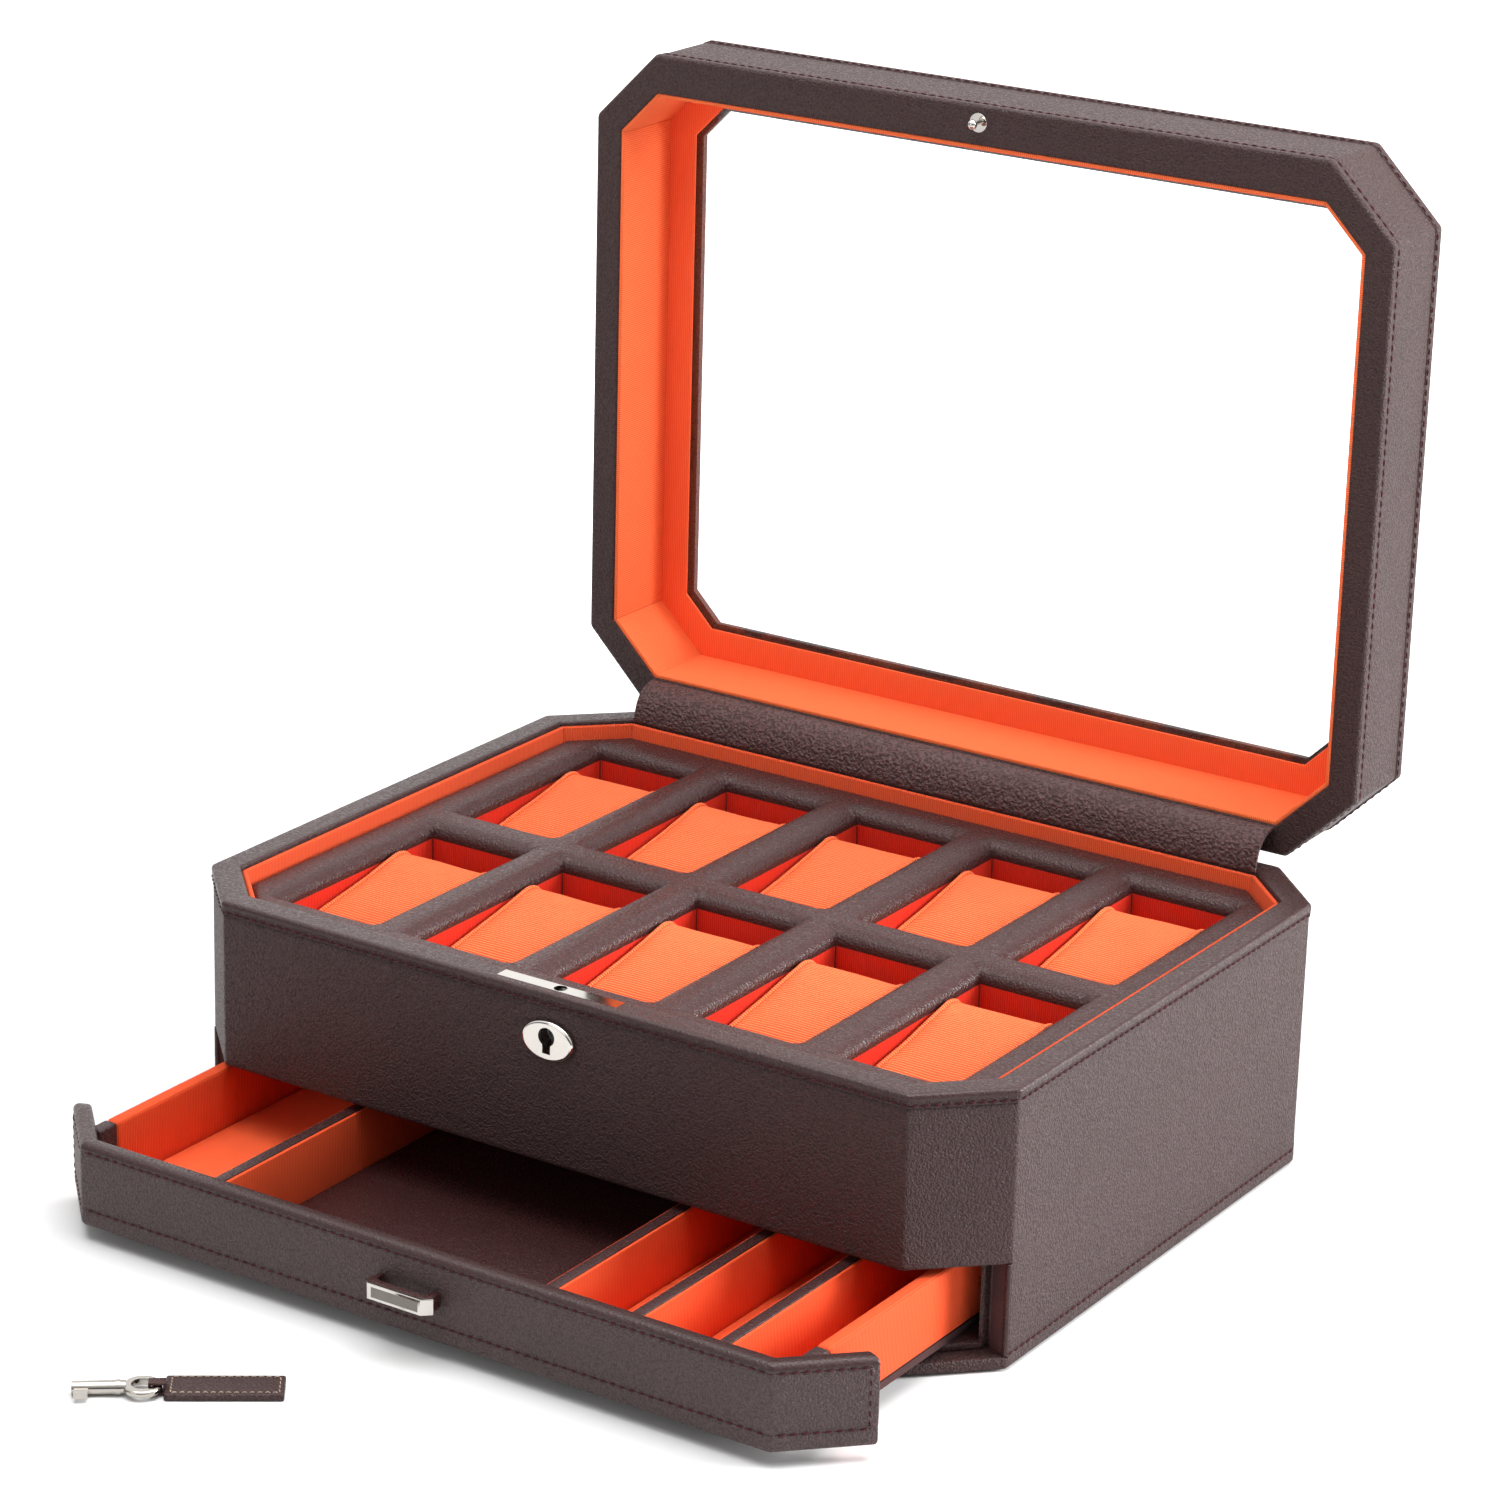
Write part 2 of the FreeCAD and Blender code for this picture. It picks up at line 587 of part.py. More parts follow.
def tray_cap(outline):
    """The padded leather grid: ten windows between full rounded bars."""
    windows = []
    for column in range(5):
        for row in ("front", "rear"):
            x, y = cell_middle(column, row)
            windows.append(
                rectangle(
                    f"{x} - cell_width / 2",
                    f"{x} + cell_width / 2",
                    f"{y} - cell_length / 2",
                    f"{y} + cell_length / 2",
                )
            )
    top = f"({BOARD_TOP} + cap_thickness)"
    cap = prism("tray_cap", "XY_Plane", BOARD_TOP, top, outline, *windows)
    half_x = number(GRID_X) + 1e-3
    half_y = number(GRID_Y) + 1e-3

    def window_corner(edge):
        point = edge.Vertexes[0].Point
        return is_upright(edge) and abs(point.x) < half_x and abs(point.y) < half_y

    def outside(edge):
        middle = edge.CenterOfMass
        return abs(middle.x) > half_x or abs(middle.y) > half_y

    round_edges(cap, "cap_corner", window_corner)
    round_edges(cap, "cap_round", lambda edge: at_level(edge, top) and not outside(edge))
    round_edges(cap, "cap_edge_round", lambda edge: at_level(edge, top) and outside(edge))


def cushion_section(x, tuck, crown):
    """Side outline of a cushion at one place along its width."""
    front = -number("cushion_front_reach") + tuck
    back = number("cushion_back_reach") - tuck
    ridge = number("cushion_ridge_reach")
    low = tuck * 0.4
    points = [
        Vector(x, front, low),
        Vector(x, back, low),
        Vector(x, ridge + (back - ridge) * 0.45, number("cushion_ridge_height") - tuck + crown),
        Vector(x, front, number("cushion_front_height") - tuck + crown),
    ]
    return rounded_wire(points, [8, 8, 9, 12])


def cushion_shape():
    """A padded roll on its side: crowned top, leaning front, drawn-in end faces."""
    half = number("cell_width / 2 - cushion_side_gap")
    tuck = number("cushion_tuck")
    crown = number("cushion_crown")
    stations = [
        (-half, tuck, 0),
        (-half + 0.35 * tuck, 0.45 * tuck, 0),
        (-half + 1.4 * tuck, 0, 0.45 * crown),
        (0, 0, crown),
        (half - 1.4 * tuck, 0, 0.45 * crown),
        (half - 0.35 * tuck, 0.45 * tuck, 0),
        (half, tuck, 0),
    ]
    wires = [cushion_section(*station) for station in stations]
    return Part.makeLoft(wires, True, False)


def cushions():
    shape = cushion_shape()
    level = number(f"{DECK_TOP} + cushion_lift")
    for row in ("front", "rear"):
        for column in range(5):
            x, y = cell_middle(column, row)
            cushion = solid(f"cushion_{row}_{column + 1}", shape.copy())
            cushion.Placement = Placement(Vector(number(x), number(y), level), Rotation())


def open_lid():
    """The turn about the hinge axis that stands the lid up."""
    axis_point = Vector(0, number(HINGE_Y), number("case_height"))
    return Placement(Vector(), Rotation(Vector(1, 0, 0), -number("lid_angle")), axis_point)


def thicker_front(loop):
    """The lid's inner outline with its front side moved back, inside a thicker front board."""
    left, right = loop[1], loop[2]
    return [
        loop[0],
        (f"{left[0]} - lid_front_extra", f"{left[1]} + lid_front_extra"),
        (f"{right[0]} + lid_front_extra", f"{right[1]} + lid_front_extra"),
        *loop[3:],
    ]


def lid_parts():
    inside = thicker_front(octagon("lid_wall"))
    walls = prism("lid_walls", "XY_Plane", LID_BASE, LID_SHOULDER, OUTER, inside)
    round_rim(walls, LID_BASE, "lid_wall")
    leaf_top = "(case_height + hinge_face_gap + hinge_leaf_thickness)"
    cut(walls, "XY_Plane", LID_BASE, leaf_top, *hinge_mortises())
    flange = ("circle", "0", LOCK_Y, "stud_flange_radius + lock_play / 2")
    cut(walls, "XY_Plane", LID_BASE, f"{LID_BASE} + stud_flange_thickness", flange)
    border = new_body("lid_top_border")
    rebate_top = f"({LID_SHOULDER} + glass_thickness + glass_gap)"
    rebate = octagon("(glass_inset - 1.5 * glass_gap)")
    add(border, "XY_Plane", LID_SHOULDER, rebate_top, OUTER, rebate)
    add(border, "XY_Plane", rebate_top, LID_TOP, OUTER, octagon("lid_border_width"))
    round_edges(border, "lid_top_round", lambda edge: at_level(edge, LID_TOP))
    glass_top = f"{LID_SHOULDER} + glass_thickness"
    glass = prism("glass_pane", "XY_Plane", LID_SHOULDER, glass_top, octagon("glass_inset"))
    ledge_bottom = f"({LID_SHOULDER} - ledge_thickness)"
    ledge_loops = (inside, octagon("ledge_width"))
    ledge = prism("lid_ledge", "XY_Plane", ledge_bottom, LID_SHOULDER, *ledge_loops)
    liner_loops = (inside, thicker_front(octagon("(lid_wall + lid_liner_thickness)")))
    liner_bottom = f"({LID_BASE} + lid_liner_drop)"
    liner = prism("lid_liner", "XY_Plane", liner_bottom, ledge_bottom, *liner_loops)
    for piece in (walls, border, glass, ledge, liner, catch_stud()):
        piece.Placement = open_lid()


def catch_stud():
    """Flange let into the lid, thin neck and ball head."""
    y = number(LOCK_Y)
    base = number(LID_BASE)
    proud = number("lid_gap / 3")
    down = Vector(0, 0, -1)
    flange = Part.makeCylinder(
        number("stud_flange_radius"),
        number("stud_flange_thickness") + proud,
        Vector(0, y, base - proud),
    )
    flange = flange.makeFillet(proud * 0.9, [flange.Edges[i] for i in bottom_circles(flange)])
    neck = Part.makeCylinder(
        number("stud_neck_radius"), number("stud_ball_drop"), Vector(0, y, base), down
    )
    ball = Part.makeSphere(
        number("stud_ball_radius"), Vector(0, y, base - number("stud_ball_drop"))
    )
    return solid("catch_stud", flange.fuse(neck).fuse(ball).removeSplitter())


def bottom_circles(shape):
    lowest = shape.BoundBox.ZMin
    return [i for i, edge in enumerate(shape.Edges) if abs(edge.BoundBox.ZMax - lowest) < 1e-6]


def knuckle(start, end, bore):
    axis_y = number(HINGE_Y)
    axis_z = number("case_height")
    place_at = Vector(start, axis_y, axis_z)
    along = Vector(1, 0, 0)
    outside = Part.makeCylinder(number("hinge_barrel_radius"), end - start, place_at, along)
    return outside, Part.makeCylinder(bore, end - start, place_at, along)


def hinge_leaf(middle, spans, bottom, bore):
    """A plate with one tab and knuckle for each span."""
    length = number("hinge_length")
    thickness = number("hinge_leaf_thickness")
    axis_y = number(HINGE_Y)
    plate_front = axis_y - number("hinge_leaf_reach")
    plate_back = axis_y - number("hinge_barrel_radius + hinge_play")
    leaf = Part.makeBox(
        length, plate_back - plate_front, thickness, Vector(middle - length / 2, plate_front, bottom)
    )
    bores = []
    for start, end in spans:
        tab_corner = Vector(middle + start, plate_front, bottom)
        leaf = leaf.fuse(Part.makeBox(end - start, axis_y - plate_front, thickness, tab_corner))
        outside, inside = knuckle(middle + start, middle + end, bore)
        leaf = leaf.fuse(outside)
        bores.append(inside)
    for inside in bores:
        leaf = leaf.cut(inside)
    return leaf.removeSplitter()


def hinge_parts():
    """Two butt hinges with the lid's knuckle in the middle, and the leather over them."""
    half = number("hinge_length / 2")
    tongue = number("hinge_middle_knuckle / 2")
    play = number("hinge_play")
    pin_radius = number("hinge_pin_radius")
    axis_z = number("case_height")
    thickness = number("hinge_leaf_thickness")
    face_gap = number("hinge_face_gap")
    outer_spans = [(-half, -tongue - play), (tongue + play, half)]
    case_leaves = []
    lid_leaves = []
    pins = []
    for side in (-1, 1):
        middle = side * number("hinge_spacing / 2")
        case_leaves.append(
            hinge_leaf(middle, outer_spans, axis_z - face_gap - thickness, pin_radius)
        )
        lid_bore = pin_radius + number("hinge_pin_clearance")
        lid_leaves.append(
            hinge_leaf(middle, [(-tongue, tongue)], axis_z + face_gap, lid_bore)
        )
        pin_start = Vector(middle - half, number(HINGE_Y), axis_z)
        pins.append(Part.makeCylinder(pin_radius, 2 * half, pin_start, Vector(1, 0, 0)))
    solid("hinge_case_leaves", Part.makeCompound(case_leaves))
    solid("hinge_pins", Part.makeCompound(pins))
    solid("hinge_lid_leaves", Part.makeCompound(lid_leaves)).Placement = open_lid()
    hinge_strip()


def hinge_strip():
    """Leather that runs from the case's back rim in a bulge to the open lid."""
    thickness = number("strip_thickness")
    half = number(f"{INNER[5][0]} - liner_gap")
    front = number(f"{HALF_DEPTH} - wall + liner_gap")
    low = number("case_height + lid_gap / 3")
    reach = number("strip_reach")
    rise = number("strip_rise")
    back = front + reach
    outer = [
        Vector(-half, front, low),
        Vector(-half, front, low + 0.38 * rise),
        Vector(-half, front + 0.38 * reach, low + 0.74 * rise),
        Vector(-half, back, low + rise),
    ]
    inner = [
        Vector(-half, back, low + rise - 1.08 * thickness),
        Vector(-half, front + 0.38 * reach + 0.55 * thickness, low + 0.74 * rise - 0.9 * thickness),
        Vector(-half, front + thickness, low + 0.38 * rise - 0.4 * thickness),
        Vector(-half, front + thickness, low),
    ]
    wire = rounded_wire(outer + inner, [0.2, 4, 4, 0.2, 0.2, 3, 3, 0.2])
    solid("hinge_strip", Part.Face(wire).extrude(Vector(2 * half, 0, 0)))


def lock_parts():
    """Face plate, case, turning disc, sliding bolt and the oval round the keyhole."""
    plate_outline = rectangle("-plate_length / 2", "plate_length / 2", LOCK_NEAR, LOCK_FAR)
    stud_hole = ("circle", "0", LOCK_Y, "plate_hole_radius")
    plate_levels = (PLATE_BOTTOM, "case_height")
    prism("lock_face_plate", "XY_Plane", *plate_levels, plate_outline, stud_hole)
    bottom = f"({PLATE_BOTTOM} - lock_height)"
    outline = rectangle("-lock_length / 2", "lock_length / 2", LOCK_NEAR, LOCK_FAR)
    lock_case = prism("lock_case", "XY_Plane", bottom, PLATE_BOTTOM, outline)
    hollow = rectangle(
        "lock_skin - lock_length / 2",
        "lock_length / 2 - lock_skin",
        f"{LOCK_NEAR} + lock_skin",
        f"{LOCK_FAR} - lock_skin",
    )
    cut(lock_case, "XY_Plane", f"{bottom} + lock_skin", PLATE_BOTTOM, hollow)
    cut_keyhole(lock_case, LOCK_NEAR, f"({LOCK_NEAR} + lock_skin)")
    leg_back = f"({LOCK_FAR} - lock_skin - lock_play)"
    lock_cam(leg_back)
    lock_bolt(leg_back)
    keyhole_escutcheon()


def lock_cam(leg_back):
    """A disc with a square hole for the key and a pin that drives the bolt."""
    front = f"({LOCK_NEAR} + lock_skin + lock_play)"
    back = f"({front} + cam_thickness)"
    disc = ("circle", "0", "key_level", "cam_radius")
    half = "key_barrel_radius"
    square = rectangle(f"-{half}", half, f"key_level - {half}", f"key_level + {half}")
    cam = prism("lock_cam", "XZ_Plane", front, back, disc, square)
    offset = "(cam_pin_reach * sqrt(0.5))"
    pin = ("circle", offset, f"key_level + {offset}", "cam_pin_radius")
    add(cam, "XZ_Plane", back, f"({leg_back} - lock_play / 2)", pin)


def lock_bolt(leg_back):
    """A fork that slides over the stud's neck, on a leg that the pin pushes."""
    leg_front = f"({leg_back} - bolt_thickness)"
    bar_top = f"({PLATE_BOTTOM} - 2 * lock_play)"
    bar_bottom = f"({bar_top} - bolt_thickness)"
    offset = "(cam_pin_reach * sqrt(0.5))"
    slot_left = f"({offset} - cam_pin_radius - 1.5 * lock_play)"
    slot_right = f"({offset} + cam_pin_radius + 1.5 * lock_play)"
    slot_low = "(key_level + bolt_thickness / 2)"
    slot_high = "(key_level + cam_pin_reach + cam_pin_radius + 2 * lock_play)"
    leg_left = "(bolt_travel + stud_ball_radius + 4 * lock_play)"
    leg_bottom = f"({slot_low} - bolt_thickness)"
    shoulder = f"({slot_high} + bolt_thickness)"
    leg = [
        (f"{slot_left} - bolt_thickness", leg_bottom),
        ("bolt_leg_reach", leg_bottom),
        ("bolt_leg_reach", bar_top),
        (leg_left, bar_top),
        (leg_left, shoulder),
        (f"{slot_left} - bolt_thickness", shoulder),
    ]
    slot = rectangle(slot_left, slot_right, slot_low, slot_high)
    bolt = prism("lock_bolt", "XZ_Plane", leg_front, leg_back, leg, slot)
    half_bar = "(plate_width / 2 - lock_skin - lock_play)"
    half_slot = "(stud_ball_radius * 0.75)"
    tip = "(stud_ball_radius + 5 * lock_play)"
    slot_end = "(bolt_travel + 2 * stud_ball_radius - 5 * lock_play)"
    fork = [
        (tip, f"{LOCK_Y} - {half_bar}"),
        ("bolt_reach", f"{LOCK_Y} - {half_bar}"),
        ("bolt_reach", f"{LOCK_Y} + {half_bar}"),
        (tip, f"{LOCK_Y} + {half_bar}"),
        (tip, f"{LOCK_Y} + {half_slot}"),
        (slot_end, f"{LOCK_Y} + {half_slot}"),
        (slot_end, f"{LOCK_Y} - {half_slot}"),
        (tip, f"{LOCK_Y} - {half_slot}"),
    ]
    add(bolt, "XY_Plane", bar_bottom, bar_top, fork)


def keyhole_escutcheon():
    """An oval plate with a rounded face and a keyhole through it."""
    front = -number(HALF_DEPTH)
    thickness = number("escutcheon_thickness")
    level = number("key_level - escutcheon_drop")
    centre = Vector(0, front, level)
    half_width = number("escutcheon_width / 2")
    half_height = number("escutcheon_height / 2")
    oval = Part.Ellipse(
        centre + Vector(half_width, 0, 0), centre + Vector(0, 0, half_height), centre
    )
    plate = Part.Face(Part.Wire(oval.toShape())).extrude(Vector(0, -thickness, 0))
    nearest = plate.BoundBox.YMin
    face_edges = [edge for edge in plate.Edges if abs(edge.BoundBox.YMax - nearest) < 1e-6]
    plate = plate.makeFillet(thickness * 0.75, face_edges)
    round_part = Part.makeCylinder(
        number("keyhole_radius"),
        2 * thickness,
        Vector(0, front + thickness / 2, number("key_level")),
        Vector(0, -1, 0),
    )
    slot_width = number("keyhole_slot")
    slot_height = number("keyhole_drop")
    slot_corner = Vector(
        -slot_width / 2, front - 1.5 * thickness, number("key_level") - slot_height
    )
    slot = Part.makeBox(slot_width, 2 * thickness, slot_height, slot_corner)
    solid("keyhole_escutcheon", plate.cut(round_part.fuse(slot)))


def drawer_front(bodies):
    """A leather-covered board whose wings follow the cut-off corners."""
    back = octagon("front_thickness")
    outline = [
        towards_front(OUTER[0], "front_end_gap", "left"),
        OUTER[1],
        OUTER[2],
        towards_front(OUTER[3], "front_end_gap", "right"),
        towards_front(back[3], "front_end_gap", "right"),
        back[2],
        back[1],
        towards_front(back[0], "front_end_gap", "left"),
    ]
    front = prism("drawer_front", "XY_Plane", FRONT_BOTTOM, FRONT_TOP, outline)

    def face_edge(edge):
        level = at_level(edge, FRONT_BOTTOM) or at_level(edge, FRONT_TOP)
        on_face = inset_of(edge) < number("front_thickness / 2")
        return level and along_outline(edge) and on_face

    round_edges(front, "front_round", face_edge)
    block_back = f"({FRONT_BACK} + corner_block)"
    block = rectangle(DRAWER_INNER, "drawer_half_width", FRONT_BACK, block_back)
    mirrored = [(f"-({x})", y) for x, y in reversed(block)]
    add(front, "XY_Plane", DRAWER_FLOOR, DRAWER_WALL_TOP, block, mirrored)
    bodies.append(front)
    return block_back


def before_wings(left, right, margin, back):
    """An outline behind the drawer front, cut off where it meets the front's wings."""
    front = f"({FRONT_BACK} + {margin})"
    inset = f"(front_thickness + {margin})"
    corner_sum = f"({HALF_WIDTH} + {HALF_DEPTH} - corner_cut - sqrt(2) * {inset})"
    reach = f"({corner_sum} + {front})"
    outline = []
    if number(left) < -number(reach):
        outline += [(left, f"-({corner_sum} + {left})"), (f"-{reach}", front)]
    else:
        outline += [(left, front)]
    if number(right) > number(reach):
        outline += [(reach, front), (right, f"{right} - {corner_sum}")]
    else:
        outline += [(right, front)]
    return outline + [(right, back), (left, back)]


def divider_places():
    """Left faces of the four dividers."""
    pitch = "(right_compartment + divider_thickness)"
    last = f"({DRAWER_INNER} - end_compartment - divider_thickness)"
    return [
        f"(left_compartment - {DRAWER_INNER})",
        f"({last} - 2 * {pitch})",
        f"({last} - {pitch})",
        last,
    ]


def drawer_parts():
    bodies = []
    block_back = drawer_front(bodies)
    half = "drawer_half_width"
    levels = (DRAWER_FLOOR, DRAWER_WALL_TOP)
    bottom = before_wings(f"(-{half})", half, "0", DRAWER_BACK)
    bodies.append(prism("drawer_bottom", "XY_Plane", DRAWER_BOTTOM, DRAWER_FLOOR, bottom))
    right = rectangle(DRAWER_INNER, half, block_back, DRAWER_BACK)
    left = rectangle(f"-{half}", f"-{DRAWER_INNER}", block_back, DRAWER_BACK)
    bodies.append(prism("drawer_right_side", "XY_Plane", *levels, right))
    bodies.append(prism("drawer_left_side", "XY_Plane", *levels, left))
    rear_face = f"({DRAWER_BACK} - drawer_side)"
    rear = rectangle(f"-{DRAWER_INNER}", DRAWER_INNER, rear_face, DRAWER_BACK)
    bodies.append(prism("drawer_rear", "XY_Plane", *levels, rear))
    strips = []
    walls = [f"(-{DRAWER_INNER})"]
    for index, left_face in enumerate(divider_places(), 1):
        right_face = f"({left_face} + divider_thickness)"
        outline = rectangle(left_face, right_face, FRONT_BACK, rear_face)
        name = f"drawer_divider_{index}"
        bodies.append(prism(name, "XY_Plane", DRAWER_FLOOR, DIVIDER_TOP, outline))
        margin = "((divider_thickness - cap_strip_width) / 2)"
        strips.append(
            rectangle(
                f"{left_face} + {margin}", f"{right_face} - {margin}", FRONT_BACK, rear_face
            )
        )
        walls += [left_face, right_face]
    walls.append(DRAWER_INNER)
    strip_top = f"{DIVIDER_TOP} + cap_strip_thickness"
    bodies.append(prism("divider_strips", "XY_Plane", DIVIDER_TOP, strip_top, *strips))
    pads = []
    for left_wall, right_wall in zip(walls[0::2], walls[1::2]):
        sides = (f"({left_wall} + pad_gap)", f"({right_wall} - pad_gap)")
        pads.append(before_wings(*sides, "pad_gap", f"{rear_face} - pad_gap"))
    pad_levels = (DRAWER_FLOOR, f"{DRAWER_FLOOR} + pad_thickness")
    centre = pads.pop(1)
    bodies.append(prism("drawer_side_pads", "XY_Plane", *pad_levels, *pads))
    bodies.append(prism("drawer_centre_pad", "XY_Plane", *pad_levels, centre))
    bodies += pull_parts()
    for body in bodies:
        body.setExpression("Placement.Base.y", bound("-drawer_open"))


def pull_parts():
    """A stiff leather loop on the drawer front with a bright plate round its face."""
    face = f"(-{HALF_DEPTH})"
    low = "pull_level - pull_height / 2"
    high = "pull_level + pull_height / 2"
    right_outer = [
        ("pull_half_root", face),
        ("pull_half_width", f"{face} - pull_shoulder"),
        ("pull_half_face", f"{face} - pull_projection"),
    ]
    right_inner = [
        ("pull_half_root - pull_leather", face),
        ("pull_half_width - pull_leather", f"{face} - pull_shoulder + 0.4 * pull_leather"),
        ("pull_half_face - 0.4 * pull_leather", f"{face} - pull_projection + pull_leather"),
    ]
    left_outer = [(f"-({x})", y) for x, y in reversed(right_outer)]
    left_inner = [(f"-({x})", y) for x, y in right_inner]
    loop_outline = right_outer + left_outer + left_inner + list(reversed(right_inner))
    loop = prism("pull_loop", "XY_Plane", low, high, loop_outline)
    slant = "0.7 * pull_plate_thickness"
    plate_face = f"{face} - pull_projection - pull_plate_thickness"
    plate_right = [
        ("pull_half_width", f"{face} - pull_shoulder"),
        (f"pull_half_width + {slant}", f"{face} - pull_shoulder - {slant}"),
        ("pull_half_face + 0.4 * pull_plate_thickness", plate_face),
    ]
    plate_left = [(f"-({x})", y) for x, y in reversed(plate_right)]
    inner_edge = [
        ("-pull_half_face", f"{face} - pull_projection"),
        ("pull_half_face", f"{face} - pull_projection"),
    ]
    plate_outline = plate_right + plate_left + inner_edge
    plate = prism("pull_plate", "XY_Plane", low, high, plate_outline)
    return [loop, plate]


def key_parts():
    """The key lies on the floor in front of the box, tied to a leather tag."""
    on_floor = Placement(
        Vector(number("key_tip_x"), number("key_tip_y"), 0),
        Rotation(Vector(0, 0, 1), number("key_turn")),
    )
    radius = number("key_shaft_radius")
    level = 1.1 * radius
    length = number("key_shaft_length")
    along = Vector(1, 0, 0)
    shaft = Part.makeCylinder(radius, length, Vector(0, 0, level), along)
    barrel_depth = number("key_barrel_depth")
    barrel = Part.makeCylinder(
        number("key_barrel_radius"), barrel_depth, Vector(0, 0, level), along
    )
    reach = number("key_bit_reach")
    bit_thickness = number("key_bit_thickness")
    bit_corner = Vector(number("key_bit_start"), -reach, level - bit_thickness / 2)
    bit = Part.makeBox(number("key_bit_length"), reach, bit_thickness, bit_corner)
    collar_length = number("key_collar_length")
    collar_start = Vector(length - 2 * collar_length, 0, level)
    collar = Part.makeCylinder(level, collar_length, collar_start, along)
    bow_thickness = number("key_bow_thickness")
    bow_radius = number("key_bow_radius")
    bow_middle = length + bow_radius - 1
    bow_low = level - bow_thickness / 2
    bow = Part.makeCylinder(bow_radius, bow_thickness, Vector(bow_middle, 0, bow_low))
    bow = bow.makeFillet(bow_thickness * 0.4, bow.Edges[0:1] + bow.Edges[2:3])
    eye = Part.makeCylinder(
        number("key_bow_hole"), 3 * bow_thickness, Vector(bow_middle, 0, bow_low - bow_thickness)
    )
    metal = shaft.fuse(bit).fuse(collar).fuse(bow).cut(barrel).cut(eye)
    solid("key_metal", metal.removeSplitter()).Placement = on_floor
    key_fob(on_floor, bow_middle, bow_low, bow_low + bow_thickness)


def key_fob(on_floor, bow_middle, bow_low, bow_high):
    """A thong through the ring of the key, sewn into a leather tag."""
    strap = number("thong_thickness")
    width = number("thong_width")
    gap = number("thong_play")
    inside_left = bow_middle + number("key_bow_hole") - 0.9
    inside_right = bow_middle + number("key_bow_radius") + gap
    thong_low = bow_low - gap - strap
    thong_high = bow_high + gap + strap
    loop = Part.makeBox(
        inside_right - inside_left + 2.2 * strap,
        width,
        thong_high - thong_low,
        Vector(inside_left - strap, -width / 2, thong_low),
    )
    space = Part.makeBox(
        inside_right - inside_left,
        width,
        bow_high - bow_low + 2 * gap,
        Vector(inside_left, -width / 2, bow_low - gap),
    )
    tag_start = inside_right + strap
    tag = Part.makeBox(
        number("tag_length"),
        number("tag_width"),
        number("tag_thickness"),
        Vector(tag_start - 0.4, number("tag_shift - tag_width / 2"), 0),
    )
    upright = [edge for edge in tag.Edges if is_upright(edge)]
    tag = tag.makeFillet(number("tag_corner"), upright)
    tag.rotate(Vector(tag_start, 0, 0), Vector(0, 0, 1), -number("tag_turn"))
    fob = loop.cut(space).fuse(tag).removeSplitter()
    solid("key_fob", fob).Placement = on_floor


def pieces():
    """Every piece that is written: the bodies and the directly worked-out solids."""
    kinds = ("PartDesign::Body", "Part::Feature")
    return [item for item in document.Objects if item.TypeId in kinds]


def check_and_write():
    document.recompute()
    for item in document.Objects:
        if "Invalid" in item.State or "Error" in item.State:
            raise RuntimeError(f"{item.Name} did not rebuild: {item.State}")
    for piece in pieces():
        if piece.Shape.isNull() or not piece.Shape.isValid() or not piece.Shape.Solids:
            raise RuntimeError(f"{piece.Label} is not a sound solid")
    os.makedirs("parts", exist_ok=True)
    for piece in pieces():
        piece.Shape.exportStep(f"parts/{piece.Label}.step")
    print(len(pieces()), "pieces written")


base_parts()
bay_parts()
case_walls()
tray_parts()
cushions()
lid_parts()
hinge_parts()
lock_parts()
drawer_parts()
key_parts()
check_and_write()
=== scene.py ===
"""Looks of the watch box with drawer: leather, ribbed fabric, bright metal, glass and studio.

Shapes are written in millimetres, with the lid and the drawer shut, and are moved open as
they are made, because that is the part's pose at rest.
"""

import math

import bmesh
import bpy
from mathutils import Matrix, Vector, noise


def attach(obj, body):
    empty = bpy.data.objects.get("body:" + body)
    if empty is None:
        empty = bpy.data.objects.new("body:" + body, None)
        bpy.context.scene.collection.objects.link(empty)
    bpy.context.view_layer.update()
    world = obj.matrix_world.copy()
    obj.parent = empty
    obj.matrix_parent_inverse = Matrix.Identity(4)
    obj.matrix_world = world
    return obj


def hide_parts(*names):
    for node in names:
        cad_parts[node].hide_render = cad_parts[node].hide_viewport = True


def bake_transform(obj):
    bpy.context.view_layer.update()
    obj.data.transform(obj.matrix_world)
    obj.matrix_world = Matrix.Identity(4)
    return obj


MM = 0.001
HALF_WIDTH = 165
HALF_DEPTH = 126.5
CORNER_CUT = 26
RIM = 99.5
WALL = 10
BASE_BOTTOM = 0.8
BASE_TOP = 5
BAY_TOP = 38
DECK_TOP = 44
LID_BASE = 99.8
LID_TOP = 138.2
LID_FRONT_EXTRA = 3.6
HINGE_Y = 128.9
DRAWER_OPEN = 75.8
CORNER_RADIUS = 3
STITCH_PITCH = 3.7
RIB_PITCH = 0.84
EIGHTH = math.radians(22.5)
STITCH_INSET = 0.34
BASE_STITCHES = 5.8
RIM_STITCHES = 95.6
LID_STITCHES = (103.8, 133.7)
DRAWER_STITCHES = (11.8, 32.9)
FOLD_ANGLE = 38
DIAGONAL = math.sqrt(2)
CELL_X = [-116 + 58 * column for column in range(5)]
CELL_Y = {"front": -53, "rear": 53}
WINDOW_X = [(x - 20.5, x + 20.5) for x in CELL_X]
WINDOW_Y = [(y - 44, y + 44) for y in CELL_Y.values()]


def as_drawn(point):
    """Leaves a point where it is."""
    return point


def lid_open(point):
    """Turns a point of the shut lid upright about the hinge."""
    x, y, z = point
    return (x, z + HINGE_Y - RIM, HINGE_Y + RIM - y)


def drawer_out(point):
    """Moves a point of the shut drawer out as far as the photo shows."""
    x, y, z = point
    return (x, y - DRAWER_OPEN, z)


